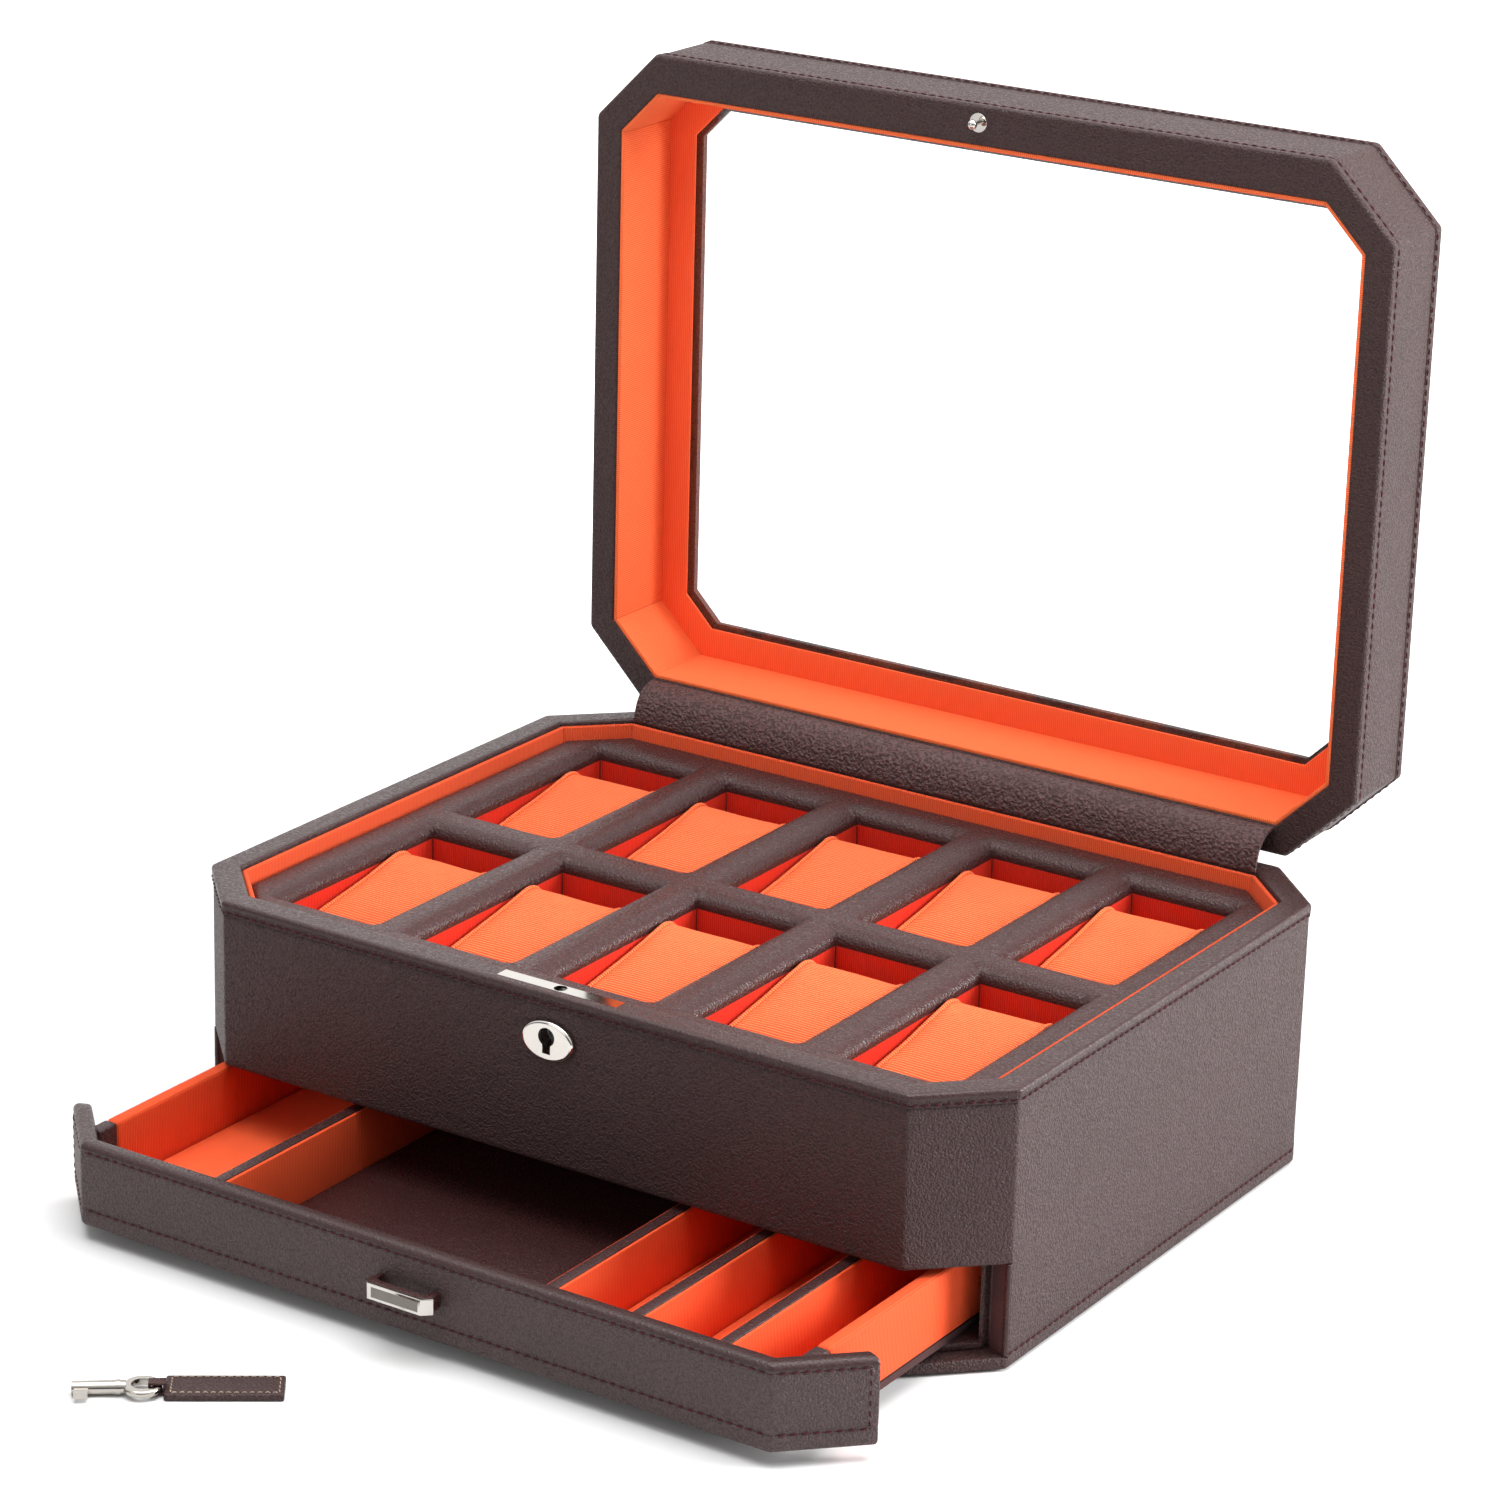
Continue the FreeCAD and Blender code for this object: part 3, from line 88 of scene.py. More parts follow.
def key_on_floor(point):
    """Lays a point of the key, drawn along x, in its place on the floor."""
    turn = math.radians(38)
    x, y, z = point
    return (
        -67 + x * math.cos(turn) - y * math.sin(turn),
        -290.3 + x * math.sin(turn) + y * math.cos(turn),
        z,
    )


def unevenness(x, y, z, size):
    """Smooth noise from -1 to 1 that is the same at each run."""
    return noise.noise(Vector((x, y, z)) / size)


def linear(red, green, blue):
    """A colour as it looks on screen, from 0 to 255, turned into shader values."""
    values = []
    for level in (red, green, blue):
        share = level / 255
        values.append(share / 12.92 if share <= 0.04045 else ((share + 0.055) / 1.055) ** 2.4)
    return (*values, 1)


def add_object(name, data):
    made = bpy.data.objects.new(name, data)
    bpy.context.scene.collection.objects.link(made)
    return made


def new_mesh(name, points, faces, put=as_drawn, uvs=None, sharp=FOLD_ANGLE):
    """A smooth-shaded mesh with its folds kept sharp. uvs holds a pair for each face corner."""
    mesh = bpy.data.meshes.new(name)
    places = [put(point) for point in points]
    mesh.from_pydata([(x * MM, y * MM, z * MM) for x, y, z in places], [], faces)
    if uvs:
        layer = mesh.uv_layers.new(name="weave")
        layer.data.foreach_set("uv", [value for pair in uvs for value in pair])
    mesh.update()
    shape = bmesh.new()
    shape.from_mesh(mesh)
    return from_shape(name, shape, mesh, sharp)


def from_shape(name, shape, mesh, sharp):
    """The edited shape as a piece, its faces turned outwards."""
    bmesh.ops.recalc_face_normals(shape, faces=shape.faces)
    shape.to_mesh(mesh)
    shape.free()
    made = add_object(name, mesh)
    shade(made, sharp)
    return made


def shade(made, sharp):
    made.data.shade_smooth()
    made.data.set_sharp_from_angle(angle=math.radians(sharp))


def finish_piece(made, body, look, *replaced, slot=None, rolled=None):
    """Look and body of a piece; slot is not used. rolled tells where its leather is drawn smooth.
    """
    made.data.materials.append(LOOKS[look])
    if rolled:
        made.data.materials.append(LOOKS["rolled leather"])
        for face in made.data.polygons:
            face.material_index = int(rolled(face.center / MM))
    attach(made, body)
    if replaced:
        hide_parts(*replaced)


def apply_modifiers(made):
    """Bakes the modifiers into the piece's own mesh."""
    graph = bpy.context.evaluated_depsgraph_get()
    mesh = bpy.data.meshes.new_from_object(made.evaluated_get(graph))
    made.modifiers.clear()
    made.data = mesh


def leg_at(inset):
    """How far a cut-off corner reaches along each side, on the outline moved inwards."""
    return CORNER_CUT - inset * (2 - DIAGONAL)


def slant_at(inset):
    """What x and y add up to along a cut-off corner, on the outline moved inwards."""
    return HALF_WIDTH + HALF_DEPTH - CORNER_CUT - DIAGONAL * inset


def corner(index, inset, extra=0):
    """A corner of the eight-sided outline moved inwards, and the front side by some extra."""
    x = HALF_WIDTH - inset
    y = HALF_DEPTH - inset
    leg = leg_at(inset)
    return [
        (-x, leg - y),
        (leg - x - extra, extra - y),
        (x - leg + extra, extra - y),
        (x, leg - y),
        (x, y - leg),
        (x - leg, y),
        (leg - x, y),
        (-x, y - leg),
    ][index % 8]


def facing(index):
    """The direction that points out of a corner, halfway between its two sides."""
    return math.radians(202.5 + 45 * index)


CORNER_STEPS = (7.5, 15, 22.5)
END_STEPS = (0, 0.12, 0.4, 0.8, 1.3)
SIDE_STEP = 8
FIRST_TURN = 0.8


def stations(first, last, gap):
    """Places along the outline: angles round its corners and shares of its sides."""
    after = [0, *CORNER_STEPS]
    before = [-angle for angle in reversed(CORNER_STEPS)]
    places = []
    for index in range(first, last + 1):
        if index == first:
            angles = [] if gap else [0, FIRST_TURN, *CORNER_STEPS]
        elif index == last:
            angles = [] if gap else [*before, -FIRST_TURN, 0]
        else:
            angles = before + after
        places += [("turn", index, math.radians(angle)) for angle in angles]
        if index < last:
            length = math.dist(corner(index, 0), corner(index + 1, 0))
            count = max(1, round(length / SIDE_STEP))
            shares = [part / count for part in range(1, count)]
            ends = [end / length for end in END_STEPS]
            if gap and index == first:
                shares = ends + shares
            if gap and index + 1 == last:
                shares += [1 - share for share in reversed(ends)]
            places += [("side", index, share) for share in shares]
    return places


def on_turn(index, angle, inset, extra):
    """A point of the rounded corner, at an angle from its middle."""
    bend = max(CORNER_RADIUS - inset, 0.4)
    x, y = corner(index, inset, extra)
    middle = facing(index)
    back = bend / math.cos(EIGHTH)
    return (
        x - back * math.cos(middle) + bend * math.cos(middle + angle),
        y - back * math.sin(middle) + bend * math.sin(middle + angle),
    )


def side_end(index, end, inset, extra, gap):
    """Where the straight part of a side begins or stops."""
    if not gap:
        return on_turn(index + end, EIGHTH if end == 0 else -EIGHTH, inset, extra)
    x, y = corner(index + end, inset)
    run = facing(index) + EIGHTH + math.pi / 2
    move = gap / math.cos(EIGHTH) * (1 if end == 0 else -1)
    return (x + move * math.cos(run), y + move * math.sin(run))


def on_outline(place, inset, gaps, extra=0):
    """The point at a place of the outline moved inwards. gaps is (first, last, gap)."""
    kind, index, where = place
    if kind == "turn":
        return on_turn(index, where, inset, extra)
    first, last, gap = gaps
    x0, y0 = side_end(index, 0, inset, extra, gap if index == first else 0)
    x1, y1 = side_end(index, 1, inset, extra, gap if index + 1 == last else 0)
    return (x0 + (x1 - x0) * where, y0 + (y1 - y0) * where)


def out_of(place):
    """The angle at which the outline faces outwards at a place."""
    kind, index, where = place
    return facing(index) + (where if kind == "turn" else EIGHTH)


def drawn_in(section, depth, reach):
    """The section shrunk towards its middle, for a rounded free end."""
    if depth >= reach:
        return section
    shrink = reach - math.sqrt(reach * reach - (reach - depth) ** 2)
    insets = [point[0] for point in section]
    levels = [point[1] for point in section]
    middle = ((min(insets) + max(insets)) / 2, (min(levels) + max(levels)) / 2)
    half = ((max(insets) - min(insets)) / 2, (max(levels) - min(levels)) / 2)
    shrunk = []
    for inset, level, extra in section:
        inset = middle[0] + (inset - middle[0]) * (1 - shrink / half[0])
        level = middle[1] + (level - middle[1]) * (1 - shrink / half[1])
        shrunk.append((inset, level, extra))
    return shrunk


def measured(path):
    """How far along a path each of its points lies."""
    lengths = [0]
    for here, after in zip(path, path[1:]):
        lengths.append(lengths[-1] + math.dist(here, after))
    return lengths


def walked(lengths, distances):
    """For each distance along a path, the stretch it falls in and the share of it."""
    part = 0
    for wanted in distances:
        while part < len(lengths) - 2 and lengths[part + 1] < wanted:
            part += 1
        yield part, (wanted - lengths[part]) / (lengths[part + 1] - lengths[part])


def ring_faces(rings, size, closed=False):
    """Four-sided faces between rings of points that follow each other."""
    faces = []
    for ring in range(rings if closed else rings - 1):
        near = ring * size
        far = (ring + 1) % rings * size
        for part in range(size):
            other = (part + 1) % size
            faces.append((near + part, far + part, far + other, near + other))
    return faces


def ring_uvs(along, across):
    """Places on the fabric for the corners of those faces."""
    uvs = []
    for start, end in zip(along, along[1:]):
        for near, far in zip(across, across[1:]):
            uvs += [(start, near), (end, near), (end, far), (start, far)]
    return uvs


def sweep(name, section, first=0, last=8, gap=0, sway=0, put=as_drawn):
    """Carries a closed section along the outline.

    Its points are (inset, level), or (inset, level, extra) where the front side is thicker.
    """
    section = [(*point, 0)[:3] for point in section]
    places = stations(first, last, gap)
    closed = last - first == 8
    if closed:
        places.pop()
    gaps = (first, last, gap)
    path = [on_outline(place, 0, gaps) for place in places]
    points = []
    for number, (place, here) in enumerate(zip(places, path)):
        shape = section
        from_end = min(number, len(places) - 1 - number)
        if gap and from_end < len(END_STEPS):
            shape = drawn_in(section, END_STEPS[from_end], END_STEPS[-1])
        for inset, level, extra in shape:
            if sway:
                inset += sway * (1 + unevenness(*here, level, 45)) / 2
            points.append((*on_outline(place, inset, gaps, extra), level))
    flat = [point[:2] for point in section]
    size = len(section)
    faces = ring_faces(len(places), size, closed)
    uvs = ring_uvs(measured(path + path[:1] if closed else path), measured(flat + flat[:1]))
    if not closed:
        end = (len(places) - 1) * size
        faces.append(tuple(reversed(range(size))))
        faces.append(tuple(range(end, end + size)))
        uvs += list(reversed(flat)) + flat
    return new_mesh(name, points, faces, put, uvs)


def arc(centre, radius, start, end, steps):
    """Points of an arc in the plane of a section, angles in degrees."""
    points = []
    for number in range(steps + 1):
        angle = math.radians(start + (end - start) * number / steps)
        points.append((centre[0] + radius * math.cos(angle), centre[1] + radius * math.sin(angle)))
    return points


def slab(name, outlines, low, high, bevel, put=as_drawn, steps=3, sharp=50):
    """Boards with rounded edges, drawn as outlines between two levels."""
    shape = bmesh.new()
    for outline in outlines:
        bottom = [shape.verts.new((x * MM, y * MM, low * MM)) for x, y in outline]
        top = [shape.verts.new((x * MM, y * MM, high * MM)) for x, y in outline]
        shape.faces.new(list(reversed(bottom)))
        shape.faces.new(top)
        count = len(outline)
        for index in range(count):
            after = (index + 1) % count
            shape.faces.new((bottom[index], bottom[after], top[after], top[index]))
    bmesh.ops.bevel(
        shape,
        geom=list(shape.edges),
        offset=bevel * MM,
        segments=steps,
        profile=0.5,
        affect="EDGES",
        clamp_overlap=True,
    )
    for vertex in shape.verts:
        vertex.co = Vector(put(tuple(vertex.co / MM))) * MM
    return from_shape(name, shape, bpy.data.meshes.new(name), sharp)


def box_outline(left, right, front, back):
    return [(left, front), (right, front), (right, back), (left, back)]


def mirrored(outline):
    """The same outline on the other side, in the same order of turning."""
    return [(-x, y) for x, y in reversed(outline)]


def new_material(name, **values):
    """A material with values set on its shader. An underscore in a name stands for a space."""
    made = bpy.data.materials.new(name)
    made.use_nodes = True
    shader = made.node_tree.nodes["Principled BSDF"]
    for socket, value in values.items():
        shader.inputs[socket.replace("_", " ")].default_value = value
    return made, made.node_tree, shader


def node(tree, kind, settings=None, **inputs):
    """A shader node with its inputs set or joined. A name such as _1 is an input's place."""
    made = tree.nodes.new("ShaderNode" + kind)
    for key, value in (settings or {}).items():
        setattr(made, key, value)
    for key, value in inputs.items():
        socket = made.inputs[int(key[1:]) if key[0] == "_" else key]
        if isinstance(value, bpy.types.NodeSocket):
            tree.links.new(value, socket)
        else:
            socket.default_value = value
    return made


def sums(tree, operation, *values):
    """What a maths node makes of some values."""
    inputs = {f"_{number}": value for number, value in enumerate(values)}
    return node(tree, "Math", {"operation": operation}, **inputs).outputs[0]


def spread(tree, value, low, high, to_low=0.0, to_high=1.0):
    """A value between two limits, eased to another range."""
    return node(
        tree,
        "MapRange",
        {"interpolation_type": "SMOOTHSTEP"},
        _0=value,
        _1=low,
        _2=high,
        _3=to_low,
        _4=to_high,
    ).outputs[0]


def grain(tree, vector, scale, detail=2.0, roughness=0.5):
    """Cloudy noise from 0 to 1."""
    settings = {"Scale": scale, "Detail": detail, "Roughness": roughness}
    return node(tree, "TexNoise", Vector=vector, **settings).outputs["Fac"]


def where_on_piece(tree):
    return node(tree, "TexCoord").outputs["Object"]


def feed(tree, shader, **values):
    """Joins values to the shader's sockets."""
    for socket, value in values.items():
        tree.links.new(value, shader.inputs[socket.replace("_", " ")])


def between(tree, share, first, second):
    """A colour mixed from two by a share."""
    mixed = node(tree, "Mix", {"data_type": "RGBA"}, _0=share, _6=first, _7=second)
    return mixed.outputs[2]


def bumped(tree, shader, height, depth):
    """Raises the surface by a height from 0 to 1 times a depth in millimetres."""
    feed(tree, shader, Normal=node(tree, "Bump", Height=height, Distance=depth * MM).outputs[0])


def leather(name, base, pebble=1.2, depth=0.3, rough=0.44, crease=0.84, shine=0.32):
    """Pebbled leather: soft grains between fine creases, on a slowly changing tone, with painted
    shade in the creases; crease sets how dark that painted shade is.
    """
    made, tree, shader = new_material(name, Specular_IOR_Level=shine)
    place = where_on_piece(tree)
    bend = node(tree, "TexNoise", Vector=place, Scale=420.0, Detail=1.0).outputs["Color"]
    adding = {"operation": "MULTIPLY_ADD"}
    bent = node(tree, "VectorMath", adding, _0=bend, _1=[0.0014] * 3, _2=place).outputs[0]
    per_metre = 1000 / pebble
    cells = node(
        tree,
        "TexVoronoi",
        {"feature": "SMOOTH_F1"},
        Vector=bent,
        Scale=per_metre,
        Smoothness=0.3,
    ).outputs["Distance"]
    grains = spread(tree, cells, 0.1, 0.7, 1.0, 0.0)
    folds = spread(tree, grain(tree, bent, 1.3 * per_metre, 1.0), 0.32, 0.68)
    height = sums(tree, "MULTIPLY_ADD", folds, 0.55, sums(tree, "MULTIPLY", grains, 0.45))
    tone = grain(tree, place, 18.0)
    # painted shade: where the grain sinks into a crease, the colour drops to crease times the base
    dark = linear(*[level * crease for level in base])
    light = linear(*[level * 1.06 for level in base])
    even = between(tree, spread(tree, tone, 0.3, 0.7), linear(*base), light)
    shown = between(tree, spread(tree, height, 0.05, 0.5), dark, even)
    dull = spread(tree, height, 0.0, 0.9, rough + 0.2, rough - 0.06)
    feed(tree, shader, Base_Color=shown, Roughness=dull)
    bumped(tree, shader, height, depth)
    return made


def rib_place(tree, source, pitch):
    """How far a point lies across the ribs, in ribs."""
    if source == "weave":
        flat = node(tree, "UVMap", {"uv_map": "weave"}).outputs[0]
        return sums(tree, "DIVIDE", node(tree, "SeparateXYZ", _0=flat).outputs[0], pitch)
    place = node(tree, "SeparateXYZ", _0=where_on_piece(tree))
    across = place.outputs[0]
    if source == "sides":
        normal = node(tree, "TexCoord").outputs["Normal"]
        side = node(tree, "SeparateXYZ", _0=normal).outputs[0]
        turned = sums(tree, "GREATER_THAN", sums(tree, "ABSOLUTE", side), 0.75)
        across = node(tree, "Mix", _0=turned, _2=across, _3=place.outputs[1]).outputs[0]
    return sums(tree, "DIVIDE", across, pitch * MM)


def ribbed(name, light, deep, source, depth=0.13, pitch=RIB_PITCH):
    """Ribbed fabric: fine cords side by side, crossed by thinner threads, with painted shade in
    the grooves between the cords.
    """
    made, tree, shader = new_material(
        name,
        Roughness=0.78,
        Specular_IOR_Level=0.25,
        Sheen_Weight=0.12,
        Sheen_Roughness=0.4,
        Sheen_Tint=linear(255, 170, 120),
    )
    turns = sums(tree, "MULTIPLY", rib_place(tree, source, pitch), 2 * math.pi)
    cord = sums(tree, "MULTIPLY_ADD", sums(tree, "SINE", turns), 0.5, 0.5)
    place = where_on_piece(tree)
    threads = grain(tree, place, 1900.0, 3.0, 0.65)
    height = sums(tree, "MULTIPLY_ADD", threads, 0.55, cord)
    tone = grain(tree, place, 14.0)
    # painted shade: the low parts of cords and threads take the deep colour, the raised parts the
    # light one
    share = sums(tree, "MULTIPLY_ADD", threads, 0.35, sums(tree, "MULTIPLY", cord, 0.65))
    mixed = between(tree, spread(tree, share, 0.1, 0.8), linear(*deep), linear(*light))
    worn = between(tree, spread(tree, tone, 0.25, 0.75, 0.0, 0.1), mixed, linear(*deep))
    feed(tree, shader, Base_Color=worn)
    bumped(tree, shader, height, depth)
    return made


def napped(name, base, tip, size):
    """Suede or felt: short fibres that scatter light."""
    made, tree, shader = new_material(
        name, Roughness=0.95, Specular_IOR_Level=0.15, Sheen_Weight=0.1, Sheen_Roughness=0.6
    )
    place = where_on_piece(tree)
    fibres = grain(tree, place, 1000 / size, 4.0, 0.7)
    clouds = grain(tree, place, 60.0)
    share = sums(tree, "MULTIPLY_ADD", clouds, 0.4, sums(tree, "MULTIPLY", fibres, 0.6))
    shown = between(tree, spread(tree, share, 0.3, 0.7), linear(*base), linear(*tip))
    feed(tree, shader, Base_Color=shown)
    bumped(tree, shader, fibres, 0.12)
    return made


def metal(name, tone, rough):
    """Polished or brushed metal with faint wear in its polish."""
    made, tree, shader = new_material(name, Metallic=1.0)
    haze = grain(tree, where_on_piece(tree), 240.0, 3.0)
    dark = linear(*[level * 0.94 for level in tone])
    feed(
        tree,
        shader,
        Base_Color=between(tree, haze, dark, linear(*tone)),
        Roughness=spread(tree, haze, 0.3, 0.7, rough, rough * 1.6),
    )
    return made


def clear_glass(name):
    """Thin glass: light goes straight through, more of it is mirrored at a slant."""
    made = bpy.data.materials.new(name)
    made.use_nodes = True
    tree = made.node_tree
    tree.nodes.clear()
    clear = node(tree, "BsdfTransparent", Color=(0.985, 0.99, 0.988, 1))
    gloss = node(tree, "BsdfGlossy", Color=(1, 1, 1, 1), Roughness=0.02)
    facing_away = node(tree, "LayerWeight", Blend=0.5).outputs["Facing"]
    steep = sums(tree, "POWER", facing_away, 2.5)
    head_on = 0.04
    share = sums(tree, "MULTIPLY_ADD", steep, 1 - head_on, head_on)
    mixed = node(tree, "MixShader", _0=share, _1=clear.outputs[0], _2=gloss.outputs[0])
    node(tree, "OutputMaterial", _0=mixed.outputs[0])
    return made


def stitch_points(line, pitch):
    """Evenly spaced places along a line of (point, direction out) pairs."""
    lengths = measured([here for here, _ in line])
    count = max(1, round(lengths[-1] / pitch))
    spacing = lengths[-1] / count
    for part, share in walked(lengths, [number * spacing for number in range(count + 1)]):
        (here, out), (after, turned) = line[part : part + 2]
        yield here.lerp(after, share), out.lerp(turned, share).normalized()


THREAD_SHAPE = (
    (-0.5, -0.3, 0.55),
    (-0.3, 0.08, 1),
    (0, 0.2, 1.1),
    (0.3, 0.08, 1),
    (0.5, -0.3, 0.55),
)


def add_thread(points, faces, start, end, out, radius):
    """One stitch: a short thread that dives into the leather at both ends."""
    along = end - start
    length = along.length * 0.8
    along.normalize()
    middle = (start + end) / 2
    slant = Matrix.Rotation(math.radians(7), 3, out)
    along = slant @ along
    beside = out.cross(along)
    base = len(points)
    sides = 6
    for share, rise, scale in THREAD_SHAPE:
        centre = middle + along * (share * length) + out * rise
        for number in range(sides):
            angle = 2 * math.pi * number / sides
            offset = beside * math.cos(angle) + out * math.sin(angle)
            points.append(tuple(centre + offset * radius * scale))
    for ring in range(len(THREAD_SHAPE) - 1):
        low = base + ring * sides
        for number in range(sides):
            after = (number + 1) % sides
            faces.append((low + number, low + after, low + sides + after, low + sides + number))
    faces.append(tuple(range(base + sides - 1, base - 1, -1)))
    top = base + (len(THREAD_SHAPE) - 1) * sides
    faces.append(tuple(range(top, top + sides)))


def add_hole(points, faces, centre, out, radius=0.55):
    """The dark prick between two stitches: a shallow dome painted near black, as painted shade
    standing in for the hole.
    """
    side = out.orthogonal().normalized()
    other = out.cross(side)
    base = len(points)
    for number in range(6):
        angle = math.pi * number / 3
        offset = side * math.cos(angle) + other * math.sin(angle)
        points.append(tuple(centre + offset * radius - out * 0.1))
    points.append(tuple(centre + out * 0.1))
    points.append(tuple(centre - out * 0.4))
    for number in range(6):
        after = base + (number + 1) % 6
        faces.append((base + number, after, base + 6))
        faces.append((after, base + number, base + 7))


def stitching(name, lines, body, put=as_drawn, radius=0.42, pitch=STITCH_PITCH, look="thread"):
    """Rows of stitches on one body, threads and the pricks between them."""
    points = []
    faces = []
    pricks = []
    for line in lines:
        placed = []
        for point, out in line:
            here = Vector(put(point))
            tip = Vector(put(tuple(Vector(point) + Vector(out))))
            placed.append((here, tip - here))
        row = list(stitch_points(placed, pitch))
        for (start, out), (end, _) in zip(row, row[1:]):
            add_thread(points, faces, start, end, out, radius)
        pricks += row
    thread_faces = len(faces)
    for here, out in pricks:
        add_hole(points, faces, here, out)
    made = new_mesh(name, points, faces, sharp=80)
    made.data.materials.append(LOOKS[look])
    made.data.materials.append(LOOKS["prick"])
    kinds = [0] * thread_faces + [1] * (len(faces) - thread_faces)
    made.data.polygons.foreach_set("material_index", kinds)
    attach(made, body)


def outline_row(inset, level, first=0, last=8, gap=0):
    """A row of stitches that follows the outline at one level."""
    line = []
    for place in stations(first, last, gap):
        x, y = on_outline(place, inset, (first, last, gap))
        angle = out_of(place)
        line.append(((x, y, level), (math.cos(angle), math.sin(angle), 0)))
    return line


LOOKS = {
    "leather": leather("brown_leather", (58, 39, 38), 1.0, 0.34, crease=0.82),
    "drawer leather": leather("drawer_leather", (62, 43, 42), 1.0, 0.34, crease=0.82, shine=0.5),
    # painted light: the hinge strip is a lighter copy of the case leather, for its brightly lit
    # slope, with deeper painted shade in its creases
    "lit strip leather": leather("hinge_leather", (82, 58, 57), pebble=1.6, depth=0.65, crease=0.74),
    "soft leather": leather("padded_leather", (60, 34, 33), 1.1, 0.18, rough=0.25, shine=0.27),
    # The orange cloth is one fabric in copies of different depth: the drawer boards and the cell
    # walls are deeper as painted shade, the cushions lighter as painted light
    "ribs": ribbed("orange_ribs", (252, 128, 74), (240, 92, 46), "weave"),
    "shaded board ribs": ribbed("orange_boards_shaded", (244, 96, 50), (232, 70, 31), "sides"),
    "ledge ribs": ribbed("orange_ledge", (255, 112, 64), (246, 88, 46), "x"),
    "rim ribs": ribbed("orange_rim", (228, 92, 50), (204, 60, 26), "weave"),
    "shaded cell ribs": ribbed("orange_cells_shaded", (222, 48, 24), (198, 28, 11), "sides"),
    "lit cushion ribs": ribbed("orange_cushion_lit", (247, 132, 78), (212, 68, 34), "weave", 0.2, 1.15),
    "suede": napped("brown_suede", (46, 22, 22), (74, 38, 37), 0.5),
    "felt": napped("base_felt", (26, 23, 23), (46, 41, 40), 0.7),
    "chrome": metal("bright_metal", (206, 201, 195), 0.06),
    # partly painted reflection: the darker satin metal of the field on the pull's plate
    "satin": metal("satin_painted_reflection", (132, 128, 121), 0.36),
    "nickel": metal("key_metal_finish", (176, 171, 164), 0.1),
    "steel": metal("lock_steel", (176, 174, 172), 0.3),
    "glass": clear_glass("clear_glass"),
    "rolled leather": leather("rolled_leather", (56, 36, 35), depth=0.12, rough=0.27),
    # painted shadow: the dark red of the strips in the cells' corners
    "corner shadow": napped("painted_corner_shadow", (96, 14, 8), (140, 24, 12), 0.6),
    "thread": napped("stitching_thread", (46, 14, 18), (72, 26, 31), 0.3),
    "tag thread": napped("tag_thread", (140, 118, 102), (186, 166, 146), 0.3),
    # painted shade: the near-black of the stitch holes
    "prick": napped("stitch_hole_shade", (14, 8, 8), (22, 13, 13), 0.5),
}
CAD_LOOKS = {
    "felt": ["base_felt"],
    "suede": ["bay_jambs", "drawer_guides", "drawer_bottom"],
    # painted shade: the tray's boards take the deepest copy of the orange cloth
    "shaded cell ribs": ["tray_deck", "tray_end_rails", "tray_side_rails", "tray_long_divider"]
    + [f"tray_cross_divider_{number}" for number in range(1, 5)],
    "chrome": ["lock_face_plate", "keyhole_escutcheon", "catch_stud"],
    "nickel": ["key_metal"],
    "steel": ["lock_case", "lock_bolt", "lock_cam"]
    + ["hinge_case_leaves", "hinge_pins", "hinge_lid_leaves"],
    "glass": ["glass_pane"],
}


def paint_cad(nodes):
    """Gives each CAD node that stays in view its finish."""
    for look, names in CAD_LOOKS.items():
        for name in names:
            mesh = nodes[name].data
            mesh.materials.clear()
            mesh.materials.append(LOOKS[look])


def upper_face(panel_bottom):
    """Outside of a wall from a low edge to the rim: the body leather, then the rim's band."""
    return [
        (0.6, panel_bottom),
        (0.6, 60),
        (0.6, 93),
        (0.7, 94.1),
        (0.95, 94.45),
        (0.2, 94.7),
        (0.2, 95.1),
        (0.4, RIM_STITCHES),
        (0.16, 96.2),
        (0.02, 97.2),
        *arc((1.5, 98), 1.5, 180, 90, 5),
        (3.2, 99.46),
        (5, RIM),
        (7.4, 99.46),
        *arc((9.2, 98.7), 0.8, 90, 0, 3),
    ]


def on_rim(point):
    """Whether the leather is rolled smooth over the rim there."""
    return point.z > 97.4


def case_leather():
    """The side and back walls as one skin, and the front with its cut-off corners."""
    low = BASE_BOTTOM
    section = [
        (1.5, low),
        (0.9, low + 0.15),
        (0.5, low + 0.8),
        (0.42, 4.4),
        (0.5, 5.3),
        (0.62, BASE_STITCHES),
        (0.5, 6.3),
        (0.42, 7.2),
        *upper_face(12),
        (WALL, DECK_TOP),
        (WALL, low),
    ]
    sides = sweep("case_leather", section, 3, 8, sway=0.1)
    finish_piece(sides, "case", "leather", "left_wall", "right_wall", "rear_wall", rolled=on_rim)
    front_section = [
        (1.6, BAY_TOP),
        (0.9, BAY_TOP + 0.2),
        (0.55, BAY_TOP + 0.8),
        *upper_face(BAY_TOP + 1.8),
        (WALL, BAY_TOP + 0.5),
        (WALL - 0.5, BAY_TOP),
    ]
    front = sweep("front_leather", front_section, 0, 3, sway=0.1)
    cut_away(front, lock_openings())
    finish_piece(front, "case", "leather", "front_panel", rolled=on_rim)
    rows = [outline_row(STITCH_INSET, RIM_STITCHES), outline_row(0.62, BASE_STITCHES, 3, 8)]
    stitching("case_stitching", rows, "case")


KEYHOLE_HEIGHT = 84.6
LOCK_DEPTHS = (-122.75, -117.45)
FRONT_DEPTHS = (-128, -122)


def upright(point):
    """A plan drawn round the keyhole's middle, stood up against the front."""
    x, y, z = point
    return (x, z, y + KEYHOLE_HEIGHT)


